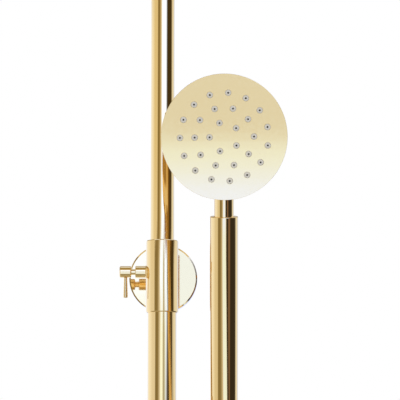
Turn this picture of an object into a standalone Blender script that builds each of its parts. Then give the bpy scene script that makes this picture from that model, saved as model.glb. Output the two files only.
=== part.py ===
"""Rainfall shower column: wall-hung riser, rain head, hand shower, slider and thermostatic bar mixer.

Lengths are millimetres until they reach Blender, which works in metres.
Frame: +X to the user's right, +Y into the wall, +Z up. The origin is the centre of the upper wall
plate's back face, so the finished wall is the plane Y = 0.
"""

import math

import bmesh
import bpy

MM = 0.001
GAP = 0.3
COARSE = 8
MEDIUM = 12
FINE = 16
WIDE = 24
SHARP_EDGE = math.radians(30)

# column
COLUMN_Y = -60
LOWER_RADIUS = 12
LOWER_BORE = 11
LOWER_TOP = -4
LOWER_BOTTOM = -700
RISER_RADIUS = 10
RISER_WALL = 1.5
RISER_BOTTOM = -215
BEND_RADIUS = 70
BEND_STEPS = 6
ARM_HEIGHT = 520
ARM_REACH = 400
TIP_BEND_RADIUS = 35
TIP_BEND_STEPS = 4
TIP_Z = 470

# telescopic clamp, on a horizontal axis at Z = 0
COLLAR_RADIUS = 13.5
COLLAR_BORE = 12.35
COLLAR_TOP = 26
COLLAR_BOTTOM = -34
BUSH_RADIUS = 12
BUSH_BORE = 10.4
BUSH_SLIT = 1.5
BOSS_RADIUS = 5.05
BOSS_FOOT_RADIUS = 6
BOSS_END = 22.2
STEM_RADIUS = 2.5
STEM_BORE = 2.9
PAD_RADIUS = 3
PAD_BORE = 3.4
PAD_LENGTH = 4.1
PAD_POCKET = 6.2
KNOB_RADIUS = 4.9
KNOB_START = 25.7
KNOB_END = 35.2
LEVER_AT = 30.4
LEVER_LENGTH = 21.4
LEVER_ROOT_RADIUS = 1.33
LEVER_TIP_RADIUS = 1.87
LEVER_TILT = math.radians(10)

# wall bracket
WALL_ARM_RADIUS = 9
WALL_ARM_BORE = 6.7
FLANGE_RADIUS = 29.1
FLANGE_DEPTH = 10
PLATE_RADIUS = 22
PLATE_THICKNESS = 4
SPIGOT_RADIUS = 6.4
SPIGOT_LENGTH = 24
SCREW_SPACING = 28
GRUB_AT = 15
GRUB_RADIUS = 1.8

# rain head, measured from the centre of its ball
BALL_Z = 440
BALL_RADIUS = 10
SEAT_BORE = 10.6
SEAT_RADIUS = 12.4
SLEEVE_BORE = 10.5
NUT_BORE = 13.4
RAIN_RADIUS = 100
RAIN_RINGS = ((20, 5), (40, 10), (60, 15), (80, 20))
RAIN_MAT_TOP = -33
RAIN_PLATE_TOP = -34.4
RAIN_PLATE_BOTTOM = -35.9

# slider and hand shower holder
SLIDER_Z = -126.5
SLIDER_RADIUS = 17
SLIDER_HALF = 22
LINER_RADIUS = 13.6
LINER_BORE = 12.4
HOLDER_X = 50.9
HOLDER_Y = -77.8
LEAN = math.radians(13)
CUP_RADIUS = 16.8
CUP_HALF = 13
CUP_CLEARANCE = 0.35
HOSE_SLOT = 15
HUB_RADIUS = 14
HUB_START = 23.8
HUB_END = 39
PIVOT_RADIUS = 4
PIVOT_HEAD_RADIUS = 7

# hand shower, measured along its handle from the middle of the cup
TAIL_TOP = 17.2
TAIL_BOTTOM = -13.5
TAIL_TOP_RADIUS = 13.2
TAIL_BOTTOM_RADIUS = 11.9
INLET_RADIUS = 10.3
INLET_BOTTOM = -26
HANDLE_RADIUS = 11.4
HANDLE_BORE = 9.5
HANDLE_TOP = 169.4
NECK_RADIUS = 7.95
DISC_AT = 234.7
DISC_RADIUS = 50.4
DISC_FACE = 9.5
DISC_BACK = 9.5
DISC_EDGE = 3.5
SHELL_WALL = 1.8
HAND_RINGS = ((11.8, 5), (23.7, 10), (35.4, 15))
NOZZLE_RADIUS = 2.45

# thermostatic bar mixer
MIXER_Z = -742
MIXER_RADIUS = 21
MIXER_HALF = 96
INLET_SPACING = 150
INLET_OFFSET = 6
UNION_RADIUS = 9.8
STUB_END = 28
ESCUTCHEON_RADIUS = 32
ESCUTCHEON_DEPTH = 12
HANDLE_END = 136
BUTTON_AT = 103

UPWARD = (0, 0, 0)
TO_THE_LEFT = (0, -math.pi / 2, 0)
TO_THE_RIGHT = (0, math.pi / 2, 0)
OUT_OF_THE_WALL = (math.pi / 2, 0, 0)

FINISHES = {
    "polished_gold": ((0.93, 0.67, 0.30), 0.06, 1.0),
    "raw_brass": ((0.72, 0.53, 0.25), 0.35, 1.0),
    "steel": ((0.62, 0.62, 0.60), 0.30, 1.0),
    "pale_silicone": ((0.62, 0.61, 0.56), 0.55, 0.0),
    "white_nylon": ((0.82, 0.81, 0.76), 0.45, 0.0),
    "black_rubber": ((0.03, 0.03, 0.03), 0.75, 0.0),
}


def clear_scene():
    for item in list(bpy.data.objects):
        bpy.data.objects.remove(item, do_unlink=True)


def new_collection(name):
    collection = bpy.data.collections.new(name)
    bpy.context.scene.collection.children.link(collection)
    return collection


clear_scene()
PIECES = new_collection("rainfall_shower_column")
CUTTERS = new_collection("cutters")


def finish(name):
    """The material of that name, made once from its colour, roughness and metallic value."""
    material = bpy.data.materials.get(name)
    if material is None:
        colour, roughness, metallic = FINISHES[name]
        material = bpy.data.materials.new(name)
        material.use_nodes = True
        shader = material.node_tree.nodes["Principled BSDF"]
        shader.inputs["Base Color"].default_value = (*colour, 1)
        shader.inputs["Roughness"].default_value = roughness
        shader.inputs["Metallic"].default_value = metallic
    return material


def add_object(name, mesh, material):
    """An object in the pieces' collection, or among the cutters when it has no material."""
    item = bpy.data.objects.new(name, mesh)
    if material is None:
        CUTTERS.objects.link(item)
        item.hide_render = True
        item.display_type = "WIRE"
    else:
        PIECES.objects.link(item)
        mesh.materials.append(finish(material))
    return item


def place(item, at=(0, 0, 0), turn=UPWARD, parent=None):
    item.location = [value * MM for value in at]
    item.rotation_euler = turn
    item.parent = parent
    return item


def axis_empty(name, at, turn=UPWARD, parent=None):
    """A guide on a joint's axis, which the pieces that move about it are placed from."""
    guide = bpy.data.objects.new(name, None)
    guide.empty_display_size = 20 * MM
    PIECES.objects.link(guide)
    return place(guide, at, turn, parent)


def rod(radius, low, high):
    """Profile of a plain round bar."""
    return [(0, high), (radius, high), (radius, low), (0, low)]


def ring(radius, bore, low, high):
    """Profile of a plain tube or washer."""
    return [(radius, high), (radius, low), (bore, low), (bore, high)]


def arc(radius, start, end, steps):
    """Points of a profile on a sphere about the origin, between two angles above its equator."""
    angles = [start + (end - start) * step / steps for step in range(steps + 1)]
    return [(radius * math.cos(angle), radius * math.sin(angle)) for angle in angles]


def turned(name, profile, material=None, segments=FINE):
    """A profile of (radius, height) points swept round Z. Off the axis, it closes on itself."""
    mesh = bpy.data.meshes.new(name)
    points = [(radius * MM, 0, height * MM) for radius, height in profile]
    edges = [(index, index + 1) for index in range(len(points) - 1)]
    if profile[0][0] > 0:
        edges.append((len(points) - 1, 0))
    mesh.from_pydata(points, edges, [])
    item = add_object(name, mesh, material)
    screw = item.modifiers.new("Turn", "SCREW")
    screw.steps = segments
    screw.render_steps = segments
    screw.use_merge_vertices = True
    screw.merge_threshold = 0.00001
    return item


def block(name, low, high):
    """A box-shaped cutter between two corners."""
    shape = bmesh.new()
    bmesh.ops.create_cube(shape, size=1)
    for corner in shape.verts:
        corner.co = [((a + b) / 2 + (b - a) * value) * MM for a, b, value in zip(low, high, corner.co)]
    mesh = bpy.data.meshes.new(name)
    shape.to_mesh(mesh)
    shape.free()
    return add_object(name, mesh, None)


def pegs(name, centres, low, high, low_radius, high_radius, sides):
    """A group of upright cones, to be joined to a plate or cut from it."""
    shape = bmesh.new()
    for x, y in centres:
        made = bmesh.ops.create_cone(
            shape,
            cap_ends=True,
            segments=sides,
            radius1=low_radius * MM,
            radius2=high_radius * MM,
            depth=(high - low) * MM,
        )
        middle = (x * MM, y * MM, (low + high) / 2 * MM)
        bmesh.ops.translate(shape, verts=made["verts"], vec=middle)
    mesh = bpy.data.meshes.new(name)
    shape.to_mesh(mesh)
    shape.free()
    return add_object(name, mesh, None)


def combine(item, operation, tools):
    """One Boolean with all of its tools, which is exact where a chain of them would round."""
    change = item.modifiers.new(operation.title(), "BOOLEAN")
    change.operation = operation
    if len(tools) == 1:
        change.object = tools[0]
    else:
        group = bpy.data.collections.new(f"{item.name}_{operation.lower()}")
        CUTTERS.children.link(group)
        for tool in tools:
            group.objects.link(tool)
        change.operand_type = "COLLECTION"
        change.collection = group
    return item


def cut(item, *tools):
    return combine(item, "DIFFERENCE", tools)


def join(item, *tools):
    return combine(item, "UNION", tools)


def ring_centres(rings):
    """Nozzle positions on concentric rings, each ring starting at its left."""
    centres = []
    for radius, count in rings:
        for index in range(count):
            angle = math.pi + 2 * math.pi * index / count
            centres.append((radius * math.cos(angle), radius * math.sin(angle)))
    return centres


def bend(centre_y, centre_z, radius, start, end, steps):
    """Points of a bend in the plane X = 0, without its first point."""
    angles = [start + (end - start) * step / steps for step in range(1, steps + 1)]
    return [(centre_y + radius * math.cos(a), centre_z + radius * math.sin(a)) for a in angles]


def riser_route():
    """The riser's centre line as (Y, Z) points, from its lower end to the tip over the user."""
    bend_z = ARM_HEIGHT - BEND_RADIUS
    tip_y = COLUMN_Y - ARM_REACH
    tip_bend_z = ARM_HEIGHT - TIP_BEND_RADIUS
    route = [(COLUMN_Y, RISER_BOTTOM), (COLUMN_Y, bend_z)]
    route += bend(COLUMN_Y - BEND_RADIUS, bend_z, BEND_RADIUS, 0, math.pi / 2, BEND_STEPS)
    tip_start = tip_y + TIP_BEND_RADIUS
    route.append((tip_start, ARM_HEIGHT))
    route += bend(tip_start, tip_bend_z, TIP_BEND_RADIUS, math.pi / 2, math.pi, TIP_BEND_STEPS)
    route.append((tip_y, TIP_Z))
    return route


def make_riser_tube():
    """One bent tube: a curve's open skin, thickened inwards."""
    curve = bpy.data.curves.new("riser_route", "CURVE")
    curve.dimensions = "3D"
    curve.bevel_depth = RISER_RADIUS * MM
    curve.bevel_resolution = 6
    curve.use_fill_caps = False
    spline = curve.splines.new("POLY")
    route = riser_route()
    spline.points.add(len(route) - 1)
    for point, (y, z) in zip(spline.points, route):
        point.co = (0, y * MM, z * MM, 1)
    guide = bpy.data.objects.new("riser_route", curve)
    bpy.context.scene.collection.objects.link(guide)
    depsgraph = bpy.context.evaluated_depsgraph_get()
    skin = bpy.data.meshes.new_from_object(guide.evaluated_get(depsgraph))
    bpy.data.objects.remove(guide, do_unlink=True)
    tube = add_object("riser_tube", skin, "polished_gold")
    wall = tube.modifiers.new("Wall", "SOLIDIFY")
    wall.thickness = RISER_WALL * MM
    wall.offset = -1
    wall.use_even_offset = True
    return tube


def make_lower_tube(column):
    profile = ring(LOWER_RADIUS, LOWER_BORE, LOWER_BOTTOM, LOWER_TOP)
    place(turned("lower_tube", profile, "polished_gold"), parent=column)


def make_collar(column):
    """The telescopic collar, bored for the lower tube, with a lip that guides the riser."""
    chamfer = 0.6
    lip = 3.5
    profile = [
        (COLLAR_RADIUS - chamfer, COLLAR_TOP),
        (COLLAR_RADIUS, COLLAR_TOP - chamfer),
        (COLLAR_RADIUS, COLLAR_BOTTOM + chamfer),
        (COLLAR_RADIUS - chamfer, COLLAR_BOTTOM),
        (COLLAR_BORE, COLLAR_BOTTOM),
        (COLLAR_BORE, COLLAR_TOP - lip),
        (BUSH_BORE + 0.1, COLLAR_TOP - lip),
        (BUSH_BORE + 0.1, COLLAR_TOP),
    ]
    collar = place(turned("clamp_collar", profile, "polished_gold"), parent=column)
    hole = turned("collar_pad_hole", rod(PAD_BORE, BUSH_BORE, COLLAR_RADIUS + 2), None, COARSE)
    place(hole, turn=TO_THE_LEFT, parent=column)
    cut(collar, hole)


def make_bush(column):
    """A split nylon bush that the pad squeezes onto the riser."""
    profile = ring(BUSH_RADIUS, BUSH_BORE, LOWER_TOP + GAP, COLLAR_TOP - 3.5 - GAP)
    bush = place(turned("collar_bush", profile, "white_nylon"), parent=column)
    slit = block("bush_slit", (0, -BUSH_SLIT / 2, -30), (30, BUSH_SLIT / 2, 40))
    cut(bush, place(slit, parent=column))


def make_piston(column):
    """A piston that carries the riser's seals in the lower tube, with the riser turning on it."""
    land = 10.5
    groove = 8.9
    bore = 6
    shoulder = RISER_BOTTOM - GAP
    profile = [(bore, shoulder + 12), (8.1, shoulder + 12), (8.1, shoulder), (land, shoulder)]
    groove_tops = (shoulder - 2.2, shoulder - 6.8)
    for top in groove_tops:
        profile += [(land, top), (groove, top), (groove, top - 2.6), (land, top - 2.6)]
    profile += [(land, shoulder - 11.6), (bore, shoulder - 11.6)]
    place(turned("riser_piston", profile, "raw_brass", MEDIUM), parent=column)
    for name, top in zip(("riser_seal_upper", "riser_seal_lower"), groove_tops):
        make_seal(name, 9.9, 0.7, top - 1.3, column)


def make_seal(name, radius, thickness, height, parent):
    """An O-ring."""
    sides = 5
    turns = [-2 * math.pi * side / sides for side in range(sides)]
    profile = [(radius + thickness * math.cos(a), height + thickness * math.sin(a)) for a in turns]
    place(turned(name, profile, "black_rubber"), parent=parent)


def make_boss(column):
    """The threaded boss on the collar's left, with a foot shaped to the collar."""
    profile = [
        (STEM_BORE, BOSS_END),
        (BOSS_RADIUS - 0.5, BOSS_END),
        (BOSS_RADIUS, BOSS_END - 0.5),
        (BOSS_RADIUS, 16.2),
        (BOSS_FOOT_RADIUS, 14.2),
        (BOSS_FOOT_RADIUS, 10),
        (PAD_BORE, 10),
        (PAD_BORE, BUSH_RADIUS + 0.5 + PAD_POCKET),
        (STEM_BORE, BUSH_RADIUS + 0.5 + PAD_POCKET),
    ]
    boss = turned("clamp_boss", profile, "polished_gold", MEDIUM)
    place(boss, turn=TO_THE_LEFT, parent=column)
    saddle = turned("boss_saddle", rod(COLLAR_RADIUS + GAP, -20, 20))
    cut(boss, place(saddle, parent=column))


def make_lock(prefix, pad_start, centre):
    """A pad, the knob whose screw presses it, and the slim lever hanging a little back from the knob."""
    pad_end = pad_start + PAD_LENGTH
    pad = turned(prefix + "_pad", rod(PAD_RADIUS, pad_start, pad_end), "white_nylon", COARSE)
    place(pad, turn=TO_THE_LEFT, parent=centre)
    chamfer = 0.6
    profile = [
        (0, KNOB_END),
        (KNOB_RADIUS - chamfer, KNOB_END),
        (KNOB_RADIUS, KNOB_END - chamfer),
        (KNOB_RADIUS, KNOB_START + chamfer),
        (KNOB_RADIUS - chamfer, KNOB_START),
        (STEM_RADIUS, KNOB_START),
        (STEM_RADIUS, pad_end + GAP),
        (0, pad_end + GAP),
    ]
    knob = turned(prefix + "_knob", profile, "polished_gold", MEDIUM)
    place(knob, turn=TO_THE_LEFT, parent=centre)
    socket = turned(prefix + "_lever_socket", rod(LEVER_ROOT_RADIUS + GAP, -8, -1.2), None, COARSE)
    lever_at = (-LEVER_AT, 0, 0)
    tilt = (LEVER_TILT, 0, 0)
    cut(knob, place(socket, lever_at, tilt, centre))
    lever_profile = [
        (0, -1.5),
        (LEVER_ROOT_RADIUS, -1.5),
        (LEVER_ROOT_RADIUS, -KNOB_RADIUS),
        (LEVER_TIP_RADIUS, -LEVER_LENGTH + 1.8),
        (LEVER_TIP_RADIUS * 0.7, -LEVER_LENGTH + 0.4),
        (0, -LEVER_LENGTH),
    ]
    lever = turned(prefix + "_lever", lever_profile, "polished_gold", COARSE)
    place(lever, lever_at, tilt, centre)


def make_wall_bracket(wall, column):
    """Plate, two screws, covering flange, and the arm with its grub screw."""
    plate_profile = [
        (0, SPIGOT_LENGTH),
        (SPIGOT_RADIUS, SPIGOT_LENGTH),
        (SPIGOT_RADIUS, PLATE_THICKNESS),
        (PLATE_RADIUS, PLATE_THICKNESS),
        (PLATE_RADIUS, 0),
        (0, 0),
    ]
    plate = place(turned("wall_plate", plate_profile, "steel"), parent=wall)
    centres = [(-SCREW_SPACING / 2, 0), (SCREW_SPACING / 2, 0)]
    cut(plate, place(pegs("plate_holes", centres, -1, 5, 2.4, 2.4, COARSE), parent=wall))
    head = PLATE_THICKNESS + GAP
    screw_profile = [(0, head + 2.2), (3, head + 2.2), (4.2, head + 1), (4.2, head), (2.1, head)]
    screw_profile += [(2.1, GAP), (0, GAP)]
    for name, (x, y) in zip(("wall_screw_left", "wall_screw_right"), centres):
        place(turned(name, screw_profile, "steel", COARSE), at=(x, y, 0), parent=wall)
    skin = 1.2
    arm_hole = WALL_ARM_RADIUS + GAP
    flange_profile = [
        (arm_hole, FLANGE_DEPTH),
        (FLANGE_RADIUS - 0.6, FLANGE_DEPTH),
        (FLANGE_RADIUS, FLANGE_DEPTH - 0.6),
        (FLANGE_RADIUS, 0),
        (FLANGE_RADIUS - skin, 0),
        (FLANGE_RADIUS - skin, FLANGE_DEPTH - skin),
        (arm_hole, FLANGE_DEPTH - skin),
    ]
    place(turned("wall_flange", flange_profile, "polished_gold", WIDE), parent=wall)
    arm_profile = ring(WALL_ARM_RADIUS, WALL_ARM_BORE, PLATE_THICKNESS + GAP, -COLUMN_Y - 8)
    arm = place(turned("wall_arm", arm_profile, "polished_gold"), parent=wall)
    saddle = turned("arm_saddle", rod(COLLAR_RADIUS + GAP, -20, 20))
    grub_hole = turned("grub_hole", rod(GRUB_RADIUS + GAP, -12, -4), None, COARSE)
    place(grub_hole, at=(0, -GRUB_AT, 0))
    cut(arm, place(saddle, parent=column), grub_hole)
    grub_profile = rod(GRUB_RADIUS, -WALL_ARM_RADIUS + 0.2, -SPIGOT_RADIUS - 0.4)
    place(turned("arm_grub_screw", grub_profile, "steel", COARSE), at=(0, -GRUB_AT, 0))


def make_ball_joint(ball):
    """Sleeve on the riser's tip, neck and ball, bored through."""
    neck = 4.7
    bore = 3
    sleeve_bottom = 19
    riser_stop = TIP_Z - BALL_Z - GAP
    sleeve_top = riser_stop + 9
    neck_angle = math.acos(neck / BALL_RADIUS)
    foot_angle = -math.acos(4 / BALL_RADIUS)
    profile = [(13, sleeve_top), (13, sleeve_bottom), (neck, sleeve_bottom)]
    profile += arc(BALL_RADIUS, neck_angle, foot_angle, 5)
    profile += [(bore, profile[-1][1]), (bore, riser_stop)]
    profile += [(SLEEVE_BORE, riser_stop), (SLEEVE_BORE, sleeve_top)]
    place(turned("head_ball_joint", profile, "polished_gold", MEDIUM), parent=ball)


def make_ball_seat(ball):
    """Nylon ring round the ball, itself round outside so that it can roll in the nut."""
    top = 7
    bottom = -4
    profile = arc(SEAT_RADIUS, math.asin(top / SEAT_RADIUS), math.asin(bottom / SEAT_RADIUS), 4)
    profile += arc(SEAT_BORE, math.asin(bottom / SEAT_BORE), math.asin(top / SEAT_BORE), 4)
    place(turned("head_ball_seat", profile, "white_nylon", MEDIUM), parent=ball)


def make_swivel_nut(ball):
    mouth = 9.2
    profile = [(15.4, 12), (16.2, 11.2), (16.2, -19), (NUT_BORE, -19), (NUT_BORE, 9.6)]
    profile += [(mouth, 9.6), (mouth, 12)]
    place(turned("head_swivel_nut", profile, "polished_gold", MEDIUM), parent=ball)


def make_rain_inlet(ball):
    """Washer under the ball and the strainer below it."""
    washer = turned("head_washer", ring(9.8, 5, -11.9, -10.5), "black_rubber", MEDIUM)
    place(washer, parent=ball)
    strainer = turned("head_strainer", rod(9.8, -13.1, -12.2), "steel", MEDIUM)
    place(strainer, parent=ball)
    centres = ring_centres(((5.6, 5),)) + [(0, 0)]
    cut(strainer, place(pegs("strainer_holes", centres, -15, -11, 1.5, 1.5, 6), parent=ball))


def make_rain_head(ball):
    """Thin shell, nozzle mat and faceplate of the overhead rose."""
    shell_profile = [
        (12.6, -7),
        (12.6, -19.4),
        (20, -19.4),
        (24, -22),
        (RAIN_RADIUS - 4, -29),
        (RAIN_RADIUS, -31.5),
        (RAIN_RADIUS, -36),
        (RAIN_RADIUS - 1.6, -36),
        (RAIN_RADIUS - 1.6, -32.4),
        (22, -25),
        (7, -25),
        (7, -13.4),
        (10.2, -13.4),
        (10.2, -7),
    ]
    place(turned("rain_shell", shell_profile, "polished_gold", WIDE), parent=ball)
    centres = ring_centres(RAIN_RINGS)
    plate_radius = RAIN_RADIUS - 2
    plate_profile = rod(plate_radius, RAIN_PLATE_BOTTOM, RAIN_PLATE_TOP)
    plate = turned("rain_faceplate", plate_profile, "polished_gold", WIDE)
    place(plate, parent=ball)
    holes = pegs("rain_holes", centres, RAIN_PLATE_BOTTOM - 1, RAIN_PLATE_TOP + 1, 2.7, 2.7, 4)
    cut(plate, place(holes, parent=ball))
    mat_profile = rod(plate_radius, RAIN_MAT_TOP - 1.1, RAIN_MAT_TOP)
    mat = turned("rain_nozzle_mat", mat_profile, "pale_silicone", WIDE)
    place(mat, parent=ball)
    tips = pegs("rain_nozzles", centres, RAIN_PLATE_BOTTOM - 2, RAIN_MAT_TOP - 0.5, 1.6, 2.2, 4)
    join(mat, place(tips, parent=ball))


def make_slider(slider):
    """The sliding block on its split liner."""
    height = 15
    liner_profile = ring(LINER_RADIUS, LINER_BORE, -height, height)
    liner = place(turned("slider_liner", liner_profile, "white_nylon"), parent=slider)
    slit = block("liner_slit", (-1, 5, -20), (1, 20, 20))
    cut(liner, place(slit, parent=slider))
    chamfer = 1
    profile = [
        (0, SLIDER_HALF),
        (SLIDER_RADIUS - chamfer, SLIDER_HALF),
        (SLIDER_RADIUS, SLIDER_HALF - chamfer),
        (SLIDER_RADIUS, -SLIDER_HALF + chamfer),
        (SLIDER_RADIUS - chamfer, -SLIDER_HALF),
        (0, -SLIDER_HALF),
    ]
    body = turned("slider_body", profile, "polished_gold")
    place(body, turn=TO_THE_LEFT, parent=slider)
    tube_hole = place(turned("slider_tube_hole", rod(LINER_RADIUS + 0.4, -30, 30)), parent=slider)
    pocket = turned("slider_pad_pocket", rod(PAD_BORE, 8, LINER_RADIUS + 0.4 + PAD_POCKET), None, COARSE)
    stem_hole = turned("slider_stem_hole", rod(STEM_BORE, 8, SLIDER_HALF + 5), None, COARSE)
    pivot_hole = turned("slider_pivot_hole", rod(PIVOT_RADIUS + 0.4, 8, SLIDER_HALF + 5), None, COARSE)
    place(pocket, turn=TO_THE_LEFT, parent=slider)
    place(stem_hole, turn=TO_THE_LEFT, parent=slider)
    place(pivot_hole, turn=TO_THE_RIGHT, parent=slider)
    cut(body, tube_hole, pocket, stem_hole, pivot_hole)


def tail_radius(along):
    """Radius of the hand shower's conical tail at a distance along the handle."""
    share = (along - TAIL_BOTTOM) / (TAIL_TOP - 2 - TAIL_BOTTOM)
    return TAIL_BOTTOM_RADIUS + (TAIL_TOP_RADIUS - TAIL_BOTTOM_RADIUS) * share


def make_holder(slider, handset):
    """Hub on the slider's right, carrying a conical cup with a slot for the hose."""
    hub_profile = rod(HUB_RADIUS, HUB_START, HUB_END)
    cup = turned("holder_cup", hub_profile, "polished_gold")
    place(cup, turn=TO_THE_RIGHT, parent=slider)
    barrel = turned("cup_barrel", rod(CUP_RADIUS, -CUP_HALF, CUP_HALF))
    reach = CUP_HALF + 4
    cone = turned(
        "cup_cone",
        [
            (0, reach),
            (tail_radius(reach) + CUP_CLEARANCE, reach),
            (tail_radius(-reach) + CUP_CLEARANCE, -reach),
            (0, -reach),
        ],
    )
    slot = block("cup_slot", (-HOSE_SLOT / 2, -30, -reach), (HOSE_SLOT / 2, 0, reach))
    for tool in (barrel, cone, slot):
        place(tool, parent=handset)
    bore = turned("hub_bore", rod(PIVOT_RADIUS + 0.4, 20, 45), None, COARSE)
    recess = turned("hub_recess", rod(PIVOT_HEAD_RADIUS + 0.4, HUB_END - 5, HUB_END + 3), None, MEDIUM)
    for tool in (bore, recess):
        place(tool, turn=TO_THE_RIGHT, parent=slider)
    join(cup, barrel)
    cut(cup, cone, slot, bore, recess)
    head = HUB_END - 4.6
    pivot_profile = [(0, head + 4.2), (PIVOT_HEAD_RADIUS, head + 4.2), (PIVOT_HEAD_RADIUS, head)]
    pivot_profile += [(PIVOT_RADIUS, head), (PIVOT_RADIUS, 15.2), (0, 15.2)]
    pivot = turned("holder_pivot", pivot_profile, "polished_gold", MEDIUM)
    place(pivot, turn=TO_THE_RIGHT, parent=slider)
    washer_profile = ring(10, PIVOT_RADIUS + 0.4, SLIDER_HALF + 0.4, HUB_START - 0.4)
    washer = turned("holder_washer", washer_profile, "white_nylon", MEDIUM)
    place(washer, turn=TO_THE_RIGHT, parent=slider)


def make_handle(handset):
    """Tail cone, threaded inlet, flow restrictor and hollow handle."""
    tail_bore = 9.4
    tail_profile = [
        (HANDLE_RADIUS, TAIL_TOP),
        (TAIL_TOP_RADIUS, TAIL_TOP - 2),
        (TAIL_BOTTOM_RADIUS, TAIL_BOTTOM),
        (tail_bore, TAIL_BOTTOM),
        (tail_bore, TAIL_TOP),
    ]
    place(turned("hand_tail_cone", tail_profile, "polished_gold"), parent=handset)
    shoulder = TAIL_BOTTOM - GAP
    inlet_profile = [(9, 30), (9, shoulder), (INLET_RADIUS, shoulder)]
    for crest in range(2):
        top = shoulder - 3 - crest * 4
        inlet_profile += [(INLET_RADIUS, top), (INLET_RADIUS - 0.9, top - 0.9), (INLET_RADIUS, top - 1.8)]
    inlet_profile += [(INLET_RADIUS, INLET_BOTTOM), (6, INLET_BOTTOM), (6, 30)]
    place(turned("hand_inlet", inlet_profile, "raw_brass", MEDIUM), parent=handset)
    restrictor = turned("hand_restrictor", ring(9.1, 2, 30.4, 34), "white_nylon", MEDIUM)
    place(restrictor, parent=handset)
    chamfer = 0.5
    top_wall = 2.6
    neck_hole = NECK_RADIUS + GAP
    handle_profile = [
        (HANDLE_RADIUS - chamfer, HANDLE_TOP),
        (HANDLE_RADIUS, HANDLE_TOP - chamfer),
        (HANDLE_RADIUS, TAIL_TOP + GAP),
        (HANDLE_BORE, TAIL_TOP + GAP),
        (HANDLE_BORE, HANDLE_TOP - top_wall),
        (neck_hole, HANDLE_TOP - top_wall),
        (neck_hole, HANDLE_TOP),
    ]
    place(turned("hand_handle", handle_profile, "polished_gold"), parent=handset)
    make_seal("hand_neck_seal", 8.75, 0.5, HANDLE_TOP - 6, handset)


def dome(radius, depth, base, steps):
    """Quarter ellipse from the rim at the base down to the axis."""
    angles = [math.pi / 2 * step / steps for step in range(steps + 1)]
    points = [(radius * math.cos(angle), base - depth * math.sin(angle)) for angle in angles]
    points[-1] = (0, base - depth)
    return points


def make_hand_head(handset, disc):
    """Back shell with its neck, nozzle mat and faceplate. The disc's own Z points at the user."""
    shell_profile = [(0, DISC_FACE - 0.4), (DISC_RADIUS, DISC_FACE - 0.4)]
    shell_profile += dome(DISC_RADIUS, DISC_EDGE + DISC_BACK, DISC_EDGE, 5)
    shell = place(turned("hand_shell", shell_profile, "polished_gold", WIDE), parent=disc)
    neck = turned("shell_neck", rod(NECK_RADIUS, HANDLE_TOP - 9, DISC_AT - 16))
    place(neck, parent=handset)
    seat = 7.9
    inner = DISC_RADIUS - SHELL_WALL
    cavity_profile = [(0, DISC_FACE + 2), (DISC_RADIUS - 1, DISC_FACE + 2)]
    cavity_profile += [(DISC_RADIUS - 1, seat), (inner, seat)]
    cavity_profile += dome(inner, DISC_EDGE + DISC_BACK - SHELL_WALL, DISC_EDGE, 5)
    cavity = place(turned("shell_cavity", cavity_profile, None, WIDE), parent=disc)
    bore = turned("neck_bore", rod(5.4, HANDLE_TOP - 20, DISC_AT - 14), None, MEDIUM)
    place(bore, parent=handset)
    join(shell, neck)
    cut(shell, cavity, bore)
    centres = ring_centres(HAND_RINGS)
    plate_low = seat + GAP
    plate = turned("hand_faceplate", rod(DISC_RADIUS - 1.3, plate_low, DISC_FACE), "polished_gold", WIDE)
    place(plate, parent=disc)
    hole = NOZZLE_RADIUS + GAP
    holes = pegs("hand_holes", centres, plate_low - 1, DISC_FACE + 1, hole, hole, 5)
    cut(plate, place(holes, parent=disc))
    mat = turned("hand_nozzle_mat", rod(inner - GAP, seat - 1.2, seat), "pale_silicone", WIDE)
    place(mat, parent=disc)
    tips = pegs("hand_nozzles", centres, seat - 0.6, DISC_FACE + 1, NOZZLE_RADIUS, 1.9, 5)
    join(mat, place(tips, parent=disc))


def make_mixer_body(mixer):
    """The bar, with the stubs that its unions screw onto and the waterways between them."""
    bar_profile = rod(MIXER_RADIUS, -MIXER_HALF, MIXER_HALF)
    body = turned("mixer_body", bar_profile, "polished_gold", WIDE)
    place(body, turn=TO_THE_RIGHT, parent=mixer)
    top_stub = turned("mixer_top_stub", rod(14, 0, LOWER_BOTTOM - 2.6 - MIXER_Z))
    gallery = turned("mixer_gallery", rod(8, -80, 80), None, COARSE)
    top_bore = turned("mixer_top_bore", rod(9.4, -3, 60), None, MEDIUM)
    outlet_bore = turned("mixer_outlet_bore", rod(7.6, -30, 2), None, MEDIUM)
    place(gallery, turn=TO_THE_RIGHT, parent=mixer)
    for tool in (top_stub, top_bore, outlet_bore):
        place(tool, parent=mixer)
    stubs = [top_stub]
    cuts = [gallery, top_bore, outlet_bore]
    for side, turn in (("left", TO_THE_LEFT), ("right", TO_THE_RIGHT)):
        x = INLET_SPACING / 2 * (1 if side == "right" else -1)
        stub = turned("mixer_stub_" + side, rod(14, COLUMN_Y, -STUB_END))
        stub_bore = turned("mixer_stub_bore_" + side, rod(7.2, COLUMN_Y - 4, 0), None, MEDIUM)
        end_bore = turned("mixer_end_bore_" + side, rod(16, 50, MIXER_HALF + 5), None, MEDIUM)
        for tool in (stub, stub_bore):
            place(tool, at=(x, -COLUMN_Y, 0), turn=(-math.pi / 2, 0, 0), parent=mixer)
        place(end_bore, turn=turn, parent=mixer)
        stubs.append(stub)
        cuts += [stub_bore, end_bore]
    join(body, *stubs)
    cut(body, *cuts)


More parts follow.
